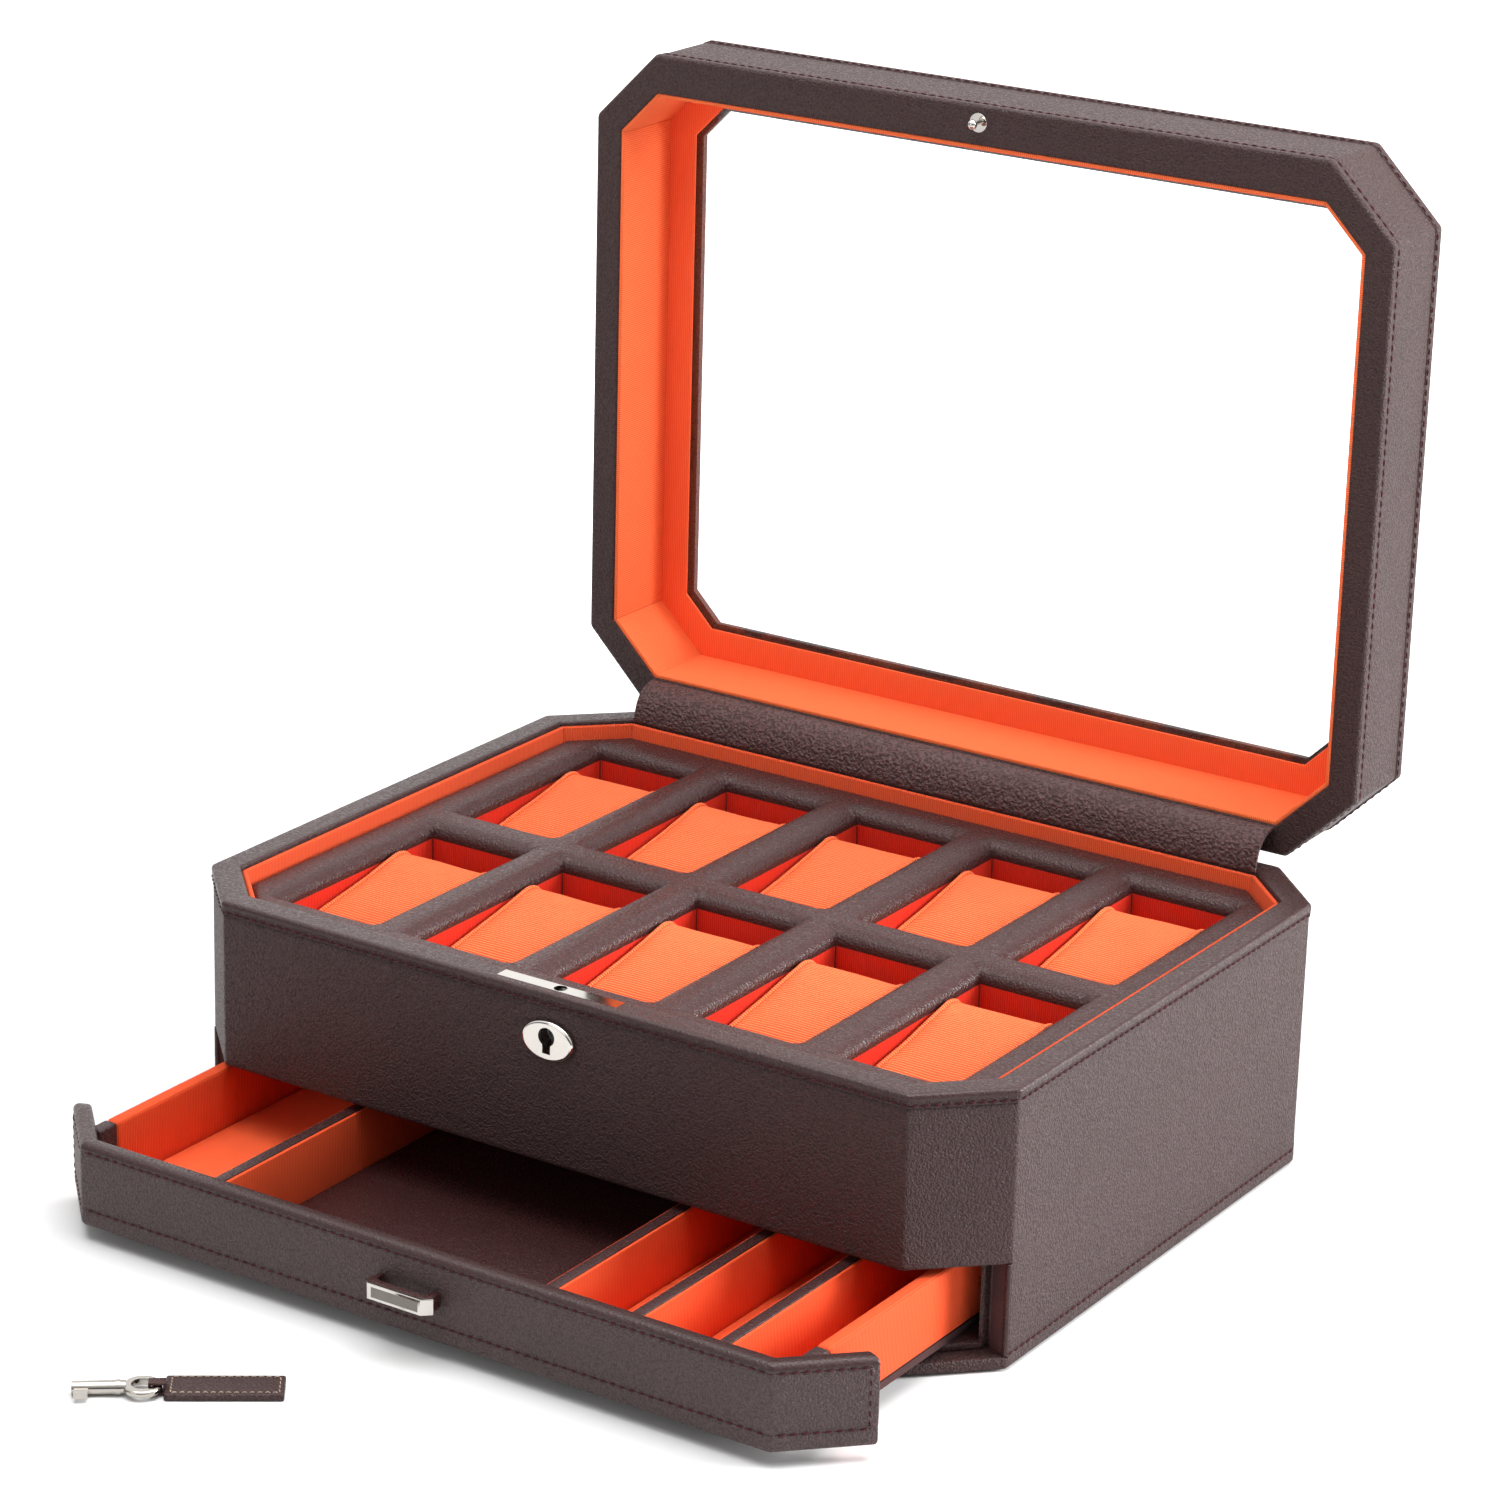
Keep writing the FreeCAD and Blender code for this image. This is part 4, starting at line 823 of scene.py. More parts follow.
def lock_openings():
    """Room for the face plate and the lock, and the keyhole."""
    plate = box_outline(-24.25, 24.25, *LOCK_DEPTHS)
    lock = box_outline(-18.2, 18.2, *LOCK_DEPTHS)
    slot = box_outline(-1.65, 1.65, -6.1, 0)
    radius = 3.4
    angles = [math.pi * number / 12 for number in range(24)]
    round_part = [(radius * math.cos(angle), radius * math.sin(angle)) for angle in angles]
    return [
        slab("recess", [plate], 98.5, 101, 0.01, steps=2),
        slab("well", [lock], 73.3, 98.6, 0.01, steps=2),
        slab("hole", [round_part], *FRONT_DEPTHS, 0.01, upright, steps=2),
        slab("slot", [slot], *FRONT_DEPTHS, 0.01, upright, steps=2),
    ]


def cut_away(made, cutters):
    """Cuts the shapes out of a piece, and clears them away."""
    for cutter in cutters:
        change = made.modifiers.new("cut", "BOOLEAN")
        change.object = cutter
        change.operation = "DIFFERENCE"
        change.solver = "EXACT"
        apply_modifiers(made)
        bpy.data.objects.remove(cutter)
    shade(made, FOLD_ANGLE)


def base_parts():
    """The leather under the case, out to the front's cut-off corners."""
    inner = [corner(index, WALL) for index in (3, 4, 5, 6, 7, 0)]
    outline = [corner(index, 0.1) for index in range(4)] + inner
    base = slab("base_leather", [outline], BASE_BOTTOM, BASE_TOP, 0.9)
    finish_piece(base, "case", "leather", "base_board")


def bay_lining():
    """A sill and two posts set back in the mouth of the drawer bay."""
    side = HALF_WIDTH - WALL
    set_back = 7.2
    front = [corner(index, set_back) for index in (1, 2)]
    slant = slant_at(set_back)
    back = [corner(index, WALL) for index in (4, 5, 6, 7)]
    floor = [(-side, side - slant), *front, (side, side - slant), *back]
    sill = slab("bay_sill", [floor], BASE_TOP, 7.8, 0.8)
    finish_piece(sill, "case", "leather", "bay_liner", slot="brown_lining")
    inner = side - 1.2
    rear = back[0][1]
    right = [(inner, inner - slant), (side, side - slant), (side, rear), (inner, rear)]
    posts = slab("bay_posts", [right, mirrored(right)], 7.5, BAY_TOP, 0.45)
    finish_piece(posts, "case", "leather", slot="brown_lining")


def bay_mouth_rolls():
    """Leather rolled over the side walls' ends, on both sides of the suede facings."""
    step = 1.3 / (DIAGONAL * math.cos(EIGHTH))
    right = []
    for near, far in ((0.35, 1.9), (8.1, 9.7)):
        (x0, y0), (x1, y1) = corner(3, near), corner(3, far)
        right.append([(x0, y0), (x1, y1), (x1 - step, y1 - step), (x0 - step, y0 - step)])
    outlines = right + [mirrored(outline) for outline in right]
    rolls = slab("bay_mouth_rolls", outlines, BASE_TOP, BAY_TOP, 0.55)
    finish_piece(rolls, "case", "rolled leather")


def case_liner():
    """The fabric that stands up inside the rim."""
    section = [
        (10.5, DECK_TOP),
        (10.5, 97.6),
        (10.7, 98),
        (11.1, 98.2),
        (11.7, 98.2),
        (12.1, 98),
        (12.3, 97.6),
        (12.3, DECK_TOP),
    ]
    finish_piece(sweep("case_liner", section), "case", "rim ribs", "inner_liner")


def cell_corner_shadows():
    """Dark strips painted into the corners of each cell, as the shadow in the gap where the fabric
    of two walls meets.
    """
    width = 0.45
    # painted shadow: thin dark strips in all four corners of every cell
    folds = []
    for left, right in WINDOW_X:
        for low, high in WINDOW_Y:
            for x0, x1 in ((left, left + width), (right - width, right)):
                for y0, y1 in ((low, low + width), (high - width, high)):
                    folds.append(box_outline(x0, x1, y0, y1))
    made = slab("cell_corner_painted_shadows", folds, DECK_TOP + 0.1, 87.9, 0.12, steps=2)
    finish_piece(made, "case", "corner shadow")


EDGE_STEPS = (0, 0.08, 0.3, 0.7, 1.3, 2.1, 3.2, 4.6, 6.2)
CAP_BOTTOM = 88
CAP_HEIGHT = 6
TRAY_INSET = 12.6
TRAY_HALF_X = HALF_WIDTH - TRAY_INSET
TRAY_HALF_Y = HALF_DEPTH - TRAY_INSET


def padded_lines(start, windows, end):
    """Grid lines across the padded leather, close together near every edge."""
    edges = [start]
    for low, high in windows:
        edges += [low, high]
    edges.append(end)
    lines = []
    for number, (low, high) in enumerate(zip(edges, edges[1:])):
        across_window = number % 2
        if across_window:
            count = round((high - low) / 2.05)
            lines += [low + (high - low) * part / count for part in range(count)]
            continue
        steps = [step for step in EDGE_STEPS if step < (high - low) / 2 - 0.5]
        inner = high - low - 2 * steps[-1]
        count = max(1, round(inner / 1.7))
        lines += [low + step for step in steps]
        lines += [low + steps[-1] + inner * part / count for part in range(1, count)]
        lines += [high - step for step in reversed(steps) if step > 0]
    lines.append(end)
    return lines


def in_window(x, y):
    """Whether a point lies over a cell."""
    across = any(low < x < high for low, high in WINDOW_X)
    return across and any(low < y < high for low, high in WINDOW_Y)


def cap_height(x, y):
    """Height of the padded leather over its boards: full bars with creased corners."""
    to_corner = TRAY_HALF_X + TRAY_HALF_Y - leg_at(TRAY_INSET) - abs(x) - abs(y)
    from_edge = min(TRAY_HALF_X - abs(x), TRAY_HALF_Y - abs(y), to_corner / DIAGONAL)
    nearest = 99
    crease = 0
    for left, right in WINDOW_X:
        for low, high in WINDOW_Y:
            beside = max(left - x, x - right, 0)
            beyond = max(low - y, y - high, 0)
            nearest = min(nearest, math.hypot(beside, beyond))
            if beside > 0 and beyond > 0 and beside + beyond < 16:
                off = abs(beside - beyond) / DIAGONAL
                reach = math.exp(-math.hypot(beside, beyond) / 3.2)
                lips = 0.5 * math.exp(-((off - 1.1) ** 2) / 0.5)
                furrow = 0.9 * math.exp(-off * off / 0.2)
                crease += (lips - furrow) * reach
    share = min(max(nearest / 7.6, 0), max(from_edge / 3.4, 0), 1)
    height = 1 + (CAP_HEIGHT - 1.25) * math.sqrt(1 - (1 - share) ** 2.5)
    height += 0.16 * share * unevenness(x, y, 0, 26) + 0.1 * share * unevenness(x, y, 5, 9)
    return min(height + crease, CAP_HEIGHT)


def tray_cap():
    """The padded leather grid over the ten cells."""
    lines_x = padded_lines(-TRAY_HALF_X, WINDOW_X, TRAY_HALF_X)
    lines_y = padded_lines(-TRAY_HALF_Y, WINDOW_Y, TRAY_HALF_Y)
    shape = bmesh.new()
    rows = [[shape.verts.new((x, y, 0)) for y in lines_y] for x in lines_x]
    for i in range(len(lines_x) - 1):
        for j in range(len(lines_y) - 1):
            x = (lines_x[i] + lines_x[i + 1]) / 2
            y = (lines_y[j] + lines_y[j + 1]) / 2
            if not in_window(x, y):
                corners = (rows[i][j], rows[i + 1][j], rows[i + 1][j + 1], rows[i][j + 1])
                shape.faces.new(corners)
    loose = [vertex for vertex in shape.verts if not vertex.link_faces]
    bmesh.ops.delete(shape, geom=loose, context="VERTS")
    reach = (TRAY_HALF_X + TRAY_HALF_Y - leg_at(TRAY_INSET)) / DIAGONAL
    for side_x in (-1, 1):
        for side_y in (-1, 1):
            cut_tray_corner(shape, Vector((side_x, side_y, 0)).normalized(), reach)
    for vertex in shape.verts:
        vertex.co.z = CAP_BOTTOM + cap_height(vertex.co.x, vertex.co.y)
    border = [edge for edge in shape.edges if edge.is_boundary]
    walls = bmesh.ops.extrude_edge_only(shape, edges=border)["geom"]
    for item in walls:
        if isinstance(item, bmesh.types.BMVert):
            item.co.z = CAP_BOTTOM
    for vertex in shape.verts:
        vertex.co = vertex.co * MM
    name = "tray_cap_leather"
    cap = from_shape(name, shape, bpy.data.meshes.new(name), 60)
    finish_piece(cap, "case", "soft leather", "tray_cap")


def cut_tray_corner(shape, normal, reach):
    """Cuts a corner off the flat grid, with grid lines close together behind the cut.

    The edges and points go in as ordered keys, so that each run numbers them alike.
    """
    for step in EDGE_STEPS:
        near = [face for face in shape.faces if face.calc_center_median().dot(normal) > reach - 14]
        edges = dict.fromkeys(edge for face in near for edge in face.edges)
        verts = dict.fromkeys(vertex for face in near for vertex in face.verts)
        bmesh.ops.bisect_plane(
            shape,
            geom=[*near, *edges, *verts],
            plane_co=normal * (reach - step),
            plane_no=normal,
            clear_outer=step == 0,
        )


CUSHION_HALF = 18.4
CUSHION_CORNERS = ((-32.8, 0.6), (32.4, 0.6), (29.4, 46.8), (-32.8, 35.4))
CUSHION_ROUNDS = (8, 8, 9, 12)
CUSHION_STEP = 2.2
PUFF_LIMIT = 2.6
CUSHION_FLOOR = 44.5
CUSHION_LIMIT = 20.2
CLOTH_FRAMES = 20
CLOTH = {
    "quality": 6,
    "mass": 0.15,
    "tension_stiffness": 40,
    "compression_stiffness": 40,
    "shear_stiffness": 20,
    "bending_stiffness": 0.5,
    "use_pressure": True,
    "uniform_pressure_force": 4,
}


def rounded_polygon(corners, radii, step):
    """Evenly spaced points of a closed outline with rounded corners."""
    path = []
    count = len(corners)
    for index in range(count):
        here = Vector(corners[index])
        before = (Vector(corners[index - 1]) - here).normalized()
        after = (Vector(corners[(index + 1) % count]) - here).normalized()
        half = before.angle(after) / 2
        reach = radii[index] / math.tan(half)
        centre = here + (before + after).normalized() * radii[index] / math.sin(half)
        start = here + before * reach - centre
        end = here + after * reach - centre
        turn = start.angle(end)
        for part in range(13):
            share = part / 12
            point = start * math.sin((1 - share) * turn) + end * math.sin(share * turn)
            path.append(centre + point / math.sin(turn))
    path.append(path[0])
    lengths = [0]
    for here, after in zip(path, path[1:]):
        lengths.append(lengths[-1] + (after - here).length)
    count = round(lengths[-1] / step)
    distances = [lengths[-1] * number / count for number in range(count)]
    return [path[part].lerp(path[part + 1], share) for part, share in walked(lengths, distances)]


def cushion_mesh():
    """A sewn form: one band round the top, back, bottom and front, and two end panels."""
    loop = rounded_polygon(CUSHION_CORNERS, CUSHION_ROUNDS, CUSHION_STEP)
    count = len(loop)
    columns = 16
    points = []
    faces = []
    uvs = []
    for column in range(columns + 1):
        x = CUSHION_HALF * (2 * column / columns - 1)
        points += [(x, y, z) for y, z in loop]
    for column in range(columns):
        near, far = column * count, (column + 1) * count
        x0, x1 = points[near][0], points[far][0]
        for index in range(count):
            after = (index + 1) % count
            faces.append((near + index, near + after, far + after, far + index))
            s0, s1 = index * CUSHION_STEP, (index + 1) * CUSHION_STEP
            uvs += [(s0, x0), (s1, x0), (s1, x1), (s0, x1)]
    middle = Vector((-4, 22))
    for end, x in ((0, -CUSHION_HALF), (columns * count, CUSHION_HALF)):
        ring = [end + index for index in range(count)]
        for share in (0.9, 0.78, 0.62, 0.44, 0.24):
            inner = []
            for here in loop:
                y, z = middle.lerp(here, share)
                inner.append(len(points))
                points.append((x, y, z))
            for index in range(count):
                after = (index + 1) % count
                face = (ring[index], ring[after], inner[after], inner[index])
                faces.append(face)
                uvs += [points[number][1:] for number in face]
            ring = inner
        faces.append(tuple(ring))
        uvs += [points[number][1:] for number in ring]
    return points, faces, uvs, count, columns


def puffed(points, faces, uvs):
    """The sewn form filled: cloth under pressure, stopped before it grows too far."""
    form = new_mesh("cushion_form", points, faces, uvs=uvs, sharp=180)
    rest = [vertex.co.copy() for vertex in form.data.vertices]
    cloth = form.modifiers.new("cloth", "CLOTH")
    for name, value in CLOTH.items():
        setattr(cloth.settings, name, value)
    cloth.settings.effector_weights.gravity = 0
    cloth.collision_settings.use_collision = False
    cloth.point_cache.frame_start = 1
    cloth.point_cache.frame_end = CLOTH_FRAMES
    for number in range(1, CLOTH_FRAMES + 1):
        bpy.context.scene.frame_set(number)
    apply_modifiers(form)
    bpy.context.scene.frame_set(1)
    for vertex, start in zip(form.data.vertices, rest):
        move = vertex.co - start
        if move.length > PUFF_LIMIT * MM:
            vertex.co = start + move.normalized() * PUFF_LIMIT * MM
    return form


def piping(form, ring, side):
    """The rolled edge along one sewn seam: the points, faces and fabric places of a thin tube."""
    radius = 0.85
    sides = 8
    centre = [form.data.vertices[number].co / MM for number in ring]
    count = len(centre)
    points = []
    for index, here in enumerate(centre):
        along = (centre[(index + 1) % count] - centre[index - 1]).normalized()
        beside = Vector((side, 0, 0))
        beside = (beside - along * beside.dot(along)).normalized()
        other = along.cross(beside)
        for number in range(sides):
            angle = 2 * math.pi * number / sides
            point = here + (beside * math.cos(angle) + other * math.sin(angle)) * radius
            points.append(tuple(point + beside * 0.1))
    lengths = [index * CUSHION_STEP for index in range(count + 1)]
    return points, ring_faces(count, sides, True), ring_uvs(lengths, range(sides + 1))


def cushions():
    """One filled form with its piping, put in each of the ten cells."""
    points, faces, uvs, count, columns = cushion_mesh()
    form = puffed(points, faces, uvs)
    smooth = form.modifiers.new("smooth", "SUBSURF")
    smooth.levels = 1
    first = range(count)
    last = range(columns * count, (columns + 1) * count)
    pipes = [piping(form, first, -1), piping(form, last, 1)]
    apply_modifiers(form)
    points = [tuple(vertex.co / MM) for vertex in form.data.vertices]
    faces = [tuple(polygon.vertices) for polygon in form.data.polygons]
    uvs = [tuple(item.uv) for item in form.data.uv_layers["weave"].data]
    for pipe_points, pipe_faces, pipe_uvs in pipes:
        base = len(points)
        points += pipe_points
        faces += [tuple(base + number for number in face) for face in pipe_faces]
        uvs += pipe_uvs
    bpy.data.objects.remove(form)
    for row, y0 in CELL_Y.items():
        for column, x0 in enumerate(CELL_X, 1):
            name = f"cushion_{row}_{column}"
            cushion = one_cushion(name, points, faces, uvs, x0, y0)
            # painted light: the cushions take the lighter copy of the orange cloth
            finish_piece(cushion, name, "lit cushion ribs", name)


def one_cushion(name, points, faces, uvs, x0, y0):
    """The form put in its cell, with dents of its own."""
    placed = []
    for x, y, z in points:
        share = min(max((z - 8) / 25, 0), 1)
        dent = 0.35 * unevenness(x + x0, y + y0, z, 17) * share
        lift = max(z + CUSHION_FLOOR + dent, DECK_TOP + 0.15)
        across = min(max(x + x0, x0 - CUSHION_LIMIT), x0 + CUSHION_LIMIT)
        placed.append((across, y + y0, lift))
    return new_mesh(name + "_cover", placed, faces, uvs=uvs, sharp=75)


def lid_shell():
    """The lid's leather in one piece, from the mating face over the top to the window."""
    low_row, high_row = LID_STITCHES
    inner_edge = [(*point, LID_FRONT_EXTRA) for point in arc((10.2, 100.6), 0.8, 0, -90, 3)]
    section = [
        *inner_edge,
        (8.5, LID_BASE + 0.04, LID_FRONT_EXTRA),
        (5.5, LID_BASE),
        (3, LID_BASE + 0.04),
        *arc((1.5, 101.3), 1.5, -90, -180, 5),
        (0.02, 102.2),
        (0.16, 103.2),
        (STITCH_INSET, low_row),
        (0.2, 104.3),
        (0.12, 104.6),
        (0.55, 104.9),
        (0.45, 105.8),
        (0.42, 118),
        (0.45, 131.6),
        (0.55, 132.5),
        (0.12, 132.8),
        (0.2, 133.2),
        (STITCH_INSET, high_row),
        (0.16, 134.3),
        (0.02, 135.2),
        *arc((2.5, 135.7), 2.5, 180, 90, 6),
        (7, LID_TOP),
        (14, LID_TOP),
        (20, LID_TOP),
        *arc((23.2, 136), 2.2, 90, 0, 5),
        (25.4, 134.2),
        (21.5, 134.2),
        (21.5, 132),
        (11, 132, LID_FRONT_EXTRA),
        (11, 118, LID_FRONT_EXTRA),
    ]
    shell = sweep("lid_leather", section, put=lid_open, sway=0.08)
    finish_piece(shell, "lid", "leather", "lid_walls", "lid_top_border")
    rows = [outline_row(STITCH_INSET, level) for level in LID_STITCHES]
    stitching("lid_stitching", rows, "lid", lid_open)


def lid_lining():
    """The fabric inside the lid's sides, and the ledge under the glass."""
    liner_profile = [
        (11, 100.6),
        (11.1, 100.45),
        (11.5, 100.35),
        (12.1, 100.4),
        (12.4, 100.6),
        (12.5, 101),
        (12.5, 130.8),
        (11, 130.8),
    ]
    liner_section = [(*point, LID_FRONT_EXTRA) for point in liner_profile]
    liner = sweep("lid_liner_fabric", liner_section, put=lid_open)
    finish_piece(liner, "lid", "ribs", "lid_liner")
    ledge_section = [
        (11.2, 130.9, LID_FRONT_EXTRA),
        (12.6, 130.8, LID_FRONT_EXTRA),
        (18, 130.8),
        (23.2, 130.8),
        (23.7, 130.95),
        (24, 131.4),
        (23.8, 131.85),
        (23.2, 132),
        (11.2, 132, LID_FRONT_EXTRA),
    ]
    ledge = sweep("lid_ledge_fabric", ledge_section, put=lid_open)
    finish_piece(ledge, "lid", "ledge ribs", "lid_ledge")


STRIP_GUIDE = (
    (116.3, 98.8),
    (116.9, 102.6),
    (118.8, 107.2),
    (121.8, 110.2),
    (125.4, 111.7),
    (128.9, 112.1),
)
STRIP_HALF_WIDTH = 134.2


def hinge_leather():
    """The strip that bulges from the case's rim up to the open lid."""
    guide = [Vector(point) for point in STRIP_GUIDE]
    steps = 26
    middle_line = [along_curve(guide, number / steps) for number in range(steps + 1)]
    half_thick = 0.55
    columns = 90
    points = []
    for column in range(columns + 1):
        x = STRIP_HALF_WIDTH * (2 * column / columns - 1)
        inner = []
        for number, here in enumerate(middle_line):
            before = middle_line[max(number - 1, 0)]
            after = middle_line[min(number + 1, steps)]
            out = Vector((-(after - before).y, (after - before).x)).normalized()
            puff = math.sin(math.pi * number / steps) * 0.35 * unevenness(x, here.x, here.y, 16)
            thin = half_thick * (0.55 if number in (0, steps) else 1)
            points.append((x, *(here + out * (puff + thin))))
            inner.append((x, *(here + out * (puff - thin))))
        points += reversed(inner)
    size = 2 * (steps + 1)
    faces = ring_faces(columns + 1, size)
    uvs = []
    for number, face in enumerate(faces):
        uvs += [(points[at][0], number % size) for at in face]
    faces.append(tuple(range(size)))
    faces.append(tuple(range(columns * size, (columns + 1) * size)))
    uvs += [(0, 0)] * (2 * size)
    strip = new_mesh("hinge_strip_leather", points, faces, uvs=uvs, sharp=60)
    # painted light: the lighter copy of the leather, for the strip's lit slope
    strip.data.materials.append(LOOKS["lit strip leather"])
    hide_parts("hinge_strip")
    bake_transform(strip)


def along_curve(guide, share):
    """A point of a smooth curve through the guide points."""
    place = share * (len(guide) - 1)
    index = min(int(place), len(guide) - 2)
    t = place - index
    p0 = guide[max(index - 1, 0)]
    p1 = guide[index]
    p2 = guide[index + 1]
    p3 = guide[min(index + 2, len(guide) - 1)]
    return 0.5 * (
        2 * p1
        + (p2 - p0) * t
        + (2 * p0 - 5 * p1 + 4 * p2 - p3) * t * t
        + (3 * p1 - p0 - 3 * p2 + p3) * t * t * t
    )


FRONT_LOW = 5.5
WING_GAP = 1.5
FRONT_HIGH = 36
FRONT_THICK = 6.4
SIDE_INNER = 141
SIDE_OUTER = 146.5
SIDE_FRONT = -104.5
DRAWER_FLOOR = 10.6
DRAWER_REAR = 102
DIVIDERS = ((-87.3, -81.3), (48.3, 54.3), (81.3, 87.3), (114.3, 120.3))
BOARD_LEVELS = (DRAWER_FLOOR, 35)
DIVIDER_LEVELS = (DRAWER_FLOOR, 34.6)
STRIP_LEVELS = (34.2, 35.1)
PAD_LEVELS = (DRAWER_FLOOR, 13)
PULL_LEVELS = (18.7, 24.3)
REFLECTION_FIELD_LEVELS = (19.7, 23.3)


def drawer_part(name, outlines, levels, bevel, look, *replaced, steps=3, sharp=50):
    """A slab that rides on the drawer."""
    made = slab(name, outlines, *levels, bevel, drawer_out, steps, sharp)
    finish_piece(made, "drawer", look, *replaced)
    return made


def on_drawer_edge(point):
    """Whether the leather is rolled smooth over the drawer front's top there."""
    return point.z > FRONT_HIGH - 2.4


def drawer_front():
    """The front with its two wings, the blocks behind them and the stitching."""
    low, high = FRONT_LOW, FRONT_HIGH
    low_row, high_row = DRAWER_STITCHES
    section = [
        (FRONT_THICK - 0.8, low),
        *arc((2, low + 2), 2, -90, -180, 5),
        (0.05, 9.8),
        (0.16, 11.2),
        (STITCH_INSET, low_row),
        (0.16, 12.4),
        (0.05, 13.6),
        (0, 22),
        (0.05, 31.4),
        (0.16, 32.3),
        (0.36, high_row),
        (0.2, 33.3),
        (0.12, 33.6),
        *arc((2.6, high - 2.6), 2.6, 170, 90, 6),
        *arc((FRONT_THICK - 1.4, high - 1.4), 1.4, 90, 0, 4),
        (FRONT_THICK, low + 0.8),
    ]
    front = sweep("drawer_front_leather", section, 0, 3, WING_GAP, 0.08, drawer_out)
    finish_piece(front, "drawer", "drawer leather", "drawer_front", rolled=on_drawer_edge)
    blocks = [
        box_outline(SIDE_INNER, SIDE_OUTER, -113.5, SIDE_FRONT),
        box_outline(-SIDE_OUTER, -SIDE_INNER, -113.5, SIDE_FRONT),
    ]
    drawer_part("drawer_end_blocks", blocks, BOARD_LEVELS, 1.1, "leather")
    upper = shortened(outline_row(STITCH_INSET, high_row, 0, 3, WING_GAP), 3.2)
    lower = shortened(outline_row(STITCH_INSET, low_row, 0, 3, WING_GAP), 3.2)
    rows = [upper, lower]
    for (x, y, _), out in (upper[0], upper[-1]):
        rows.append([((x, y, low_row), out), ((x, y, high_row), out)])
    stitching("drawer_stitching", rows, "drawer", drawer_out)


def shortened(line, trim):
    """A row of stitches that starts and stops short of its line's ends."""
    def moved(end, following):
        (here, out), (after, _) = end, following
        step = (Vector(after) - Vector(here)).normalized() * trim
        return (tuple(Vector(here) + step), out)

    ends = (line[0][0], line[-1][0])
    inner = [item for item in line[1:-1] if min(math.dist(item[0], end) for end in ends) > trim]
    kept = [line[0], *inner, line[-1]]
    return [moved(kept[0], kept[1]), *inner, moved(kept[-1], kept[-2])]


def behind_wings(left, right, margin, back):
    """An outline behind the drawer front, cut off where it meets the front's wings."""
    front = FRONT_THICK - HALF_DEPTH + margin
    slant = slant_at(FRONT_THICK + margin)
    reach = slant + front
    outline = [(left, front)]
    if left < -reach:
        outline = [(left, -(slant + left)), (-reach, front)]
    if right > reach:
        outline += [(reach, front), (right, right - slant)]
    else:
        outline.append((right, front))
    return outline + [(right, back), (left, back)]


def drawer_box():
    """Fabric-covered sides, back and dividers with leather strips, and the lining pads."""
    rear_face = DRAWER_REAR - 5.5
    front_face = FRONT_THICK - HALF_DEPTH
    # painted shade: the drawer's boards take a deeper copy of the orange cloth
    fabric = "shaded board ribs"
    sides = (("left", -SIDE_OUTER, -SIDE_INNER), ("right", SIDE_INNER, SIDE_OUTER))
    for hand, start, end in sides:
        outline = box_outline(start, end, SIDE_FRONT, DRAWER_REAR)
        names = (f"drawer_{hand}_board", f"drawer_{hand}_side")
        drawer_part(names[0], [outline], BOARD_LEVELS, 1.4, fabric, names[1], steps=4)
    outline = box_outline(-SIDE_INNER, SIDE_INNER, rear_face, DRAWER_REAR)
    drawer_part("drawer_rear_board", [outline], BOARD_LEVELS, 1.2, fabric, "drawer_rear")
    strips = []
    walls = [-SIDE_INNER]
    for number, (left, right) in enumerate(DIVIDERS, 1):
        outline = box_outline(left, right, front_face + 0.1, rear_face)
        names = (f"drawer_divider_board_{number}", f"drawer_divider_{number}")
        drawer_part(names[0], [outline], DIVIDER_LEVELS, 0.5, fabric, names[1])
        strips.append(box_outline(left + 0.9, right - 0.9, front_face + 0.1, rear_face))
        walls += [left, right]
    walls.append(SIDE_INNER)
    name = "divider_leather_strips"
    drawer_part(name, strips, STRIP_LEVELS, 0.3, "soft leather", "divider_strips")
    pads = []
    for left, right in zip(walls[0::2], walls[1::2]):
        pads.append(behind_wings(left + 0.3, right - 0.3, 0.3, rear_face - 0.3))
    centre = pads.pop(1)
    name = "drawer_side_pad_fabric"
    pad = drawer_part(name, pads, PAD_LEVELS, 0.8, "ledge ribs", "drawer_side_pads")
    name = "drawer_centre_leather"
    floor = drawer_part(name, [centre], PAD_LEVELS, 0.8, "soft leather", "drawer_centre_pad")


def pull():
    """The leather loop on the drawer front and the bright plate round its face, with a darker,
    rougher metal field on the plate as a painted reflection.
    """
    face = -HALF_DEPTH
    right_outer = [(12.3, face + 0.3), (13.3, face - 4.9), (10.5, face - 7.6)]
    right_inner = [(9.8, face + 0.3), (10.8, face - 3.9), (9.5, face - 5.1)]
    left_inner = [(-x, y) for x, y in right_inner]
    loop = right_outer + mirrored(right_outer) + left_inner + list(reversed(right_inner))
    drawer_part("pull_leather", [loop], PULL_LEVELS, 0.6, "soft leather", "pull_loop")
    plate_right = [(13.3, face - 4.9), (13.86, face - 5.46), (10.82, face - 8.4)]
    plate = plate_right + mirrored(plate_right) + [(-10.5, face - 7.6), (10.5, face - 7.6)]
    drawer_part("pull_metal", [plate], PULL_LEVELS, 0.22, "chrome", "pull_plate", sharp=10)
    # painted reflection: a darker satin field on the plate's front, for the dark reflection in its
    # middle
    reflection_field = box_outline(-9.2, 9.6, face - 8.46, face - 8.2)
    drawer_part("pull_painted_reflection_field", [reflection_field], REFLECTION_FIELD_LEVELS, 0.02, "satin", steps=2, sharp=10)


TAG_START = 29.65
TAG_LENGTH = 37.6
TAG_MIDDLE = 1.4
TAG_HALF_WIDTH = 7
TAG_THICK = 2.5


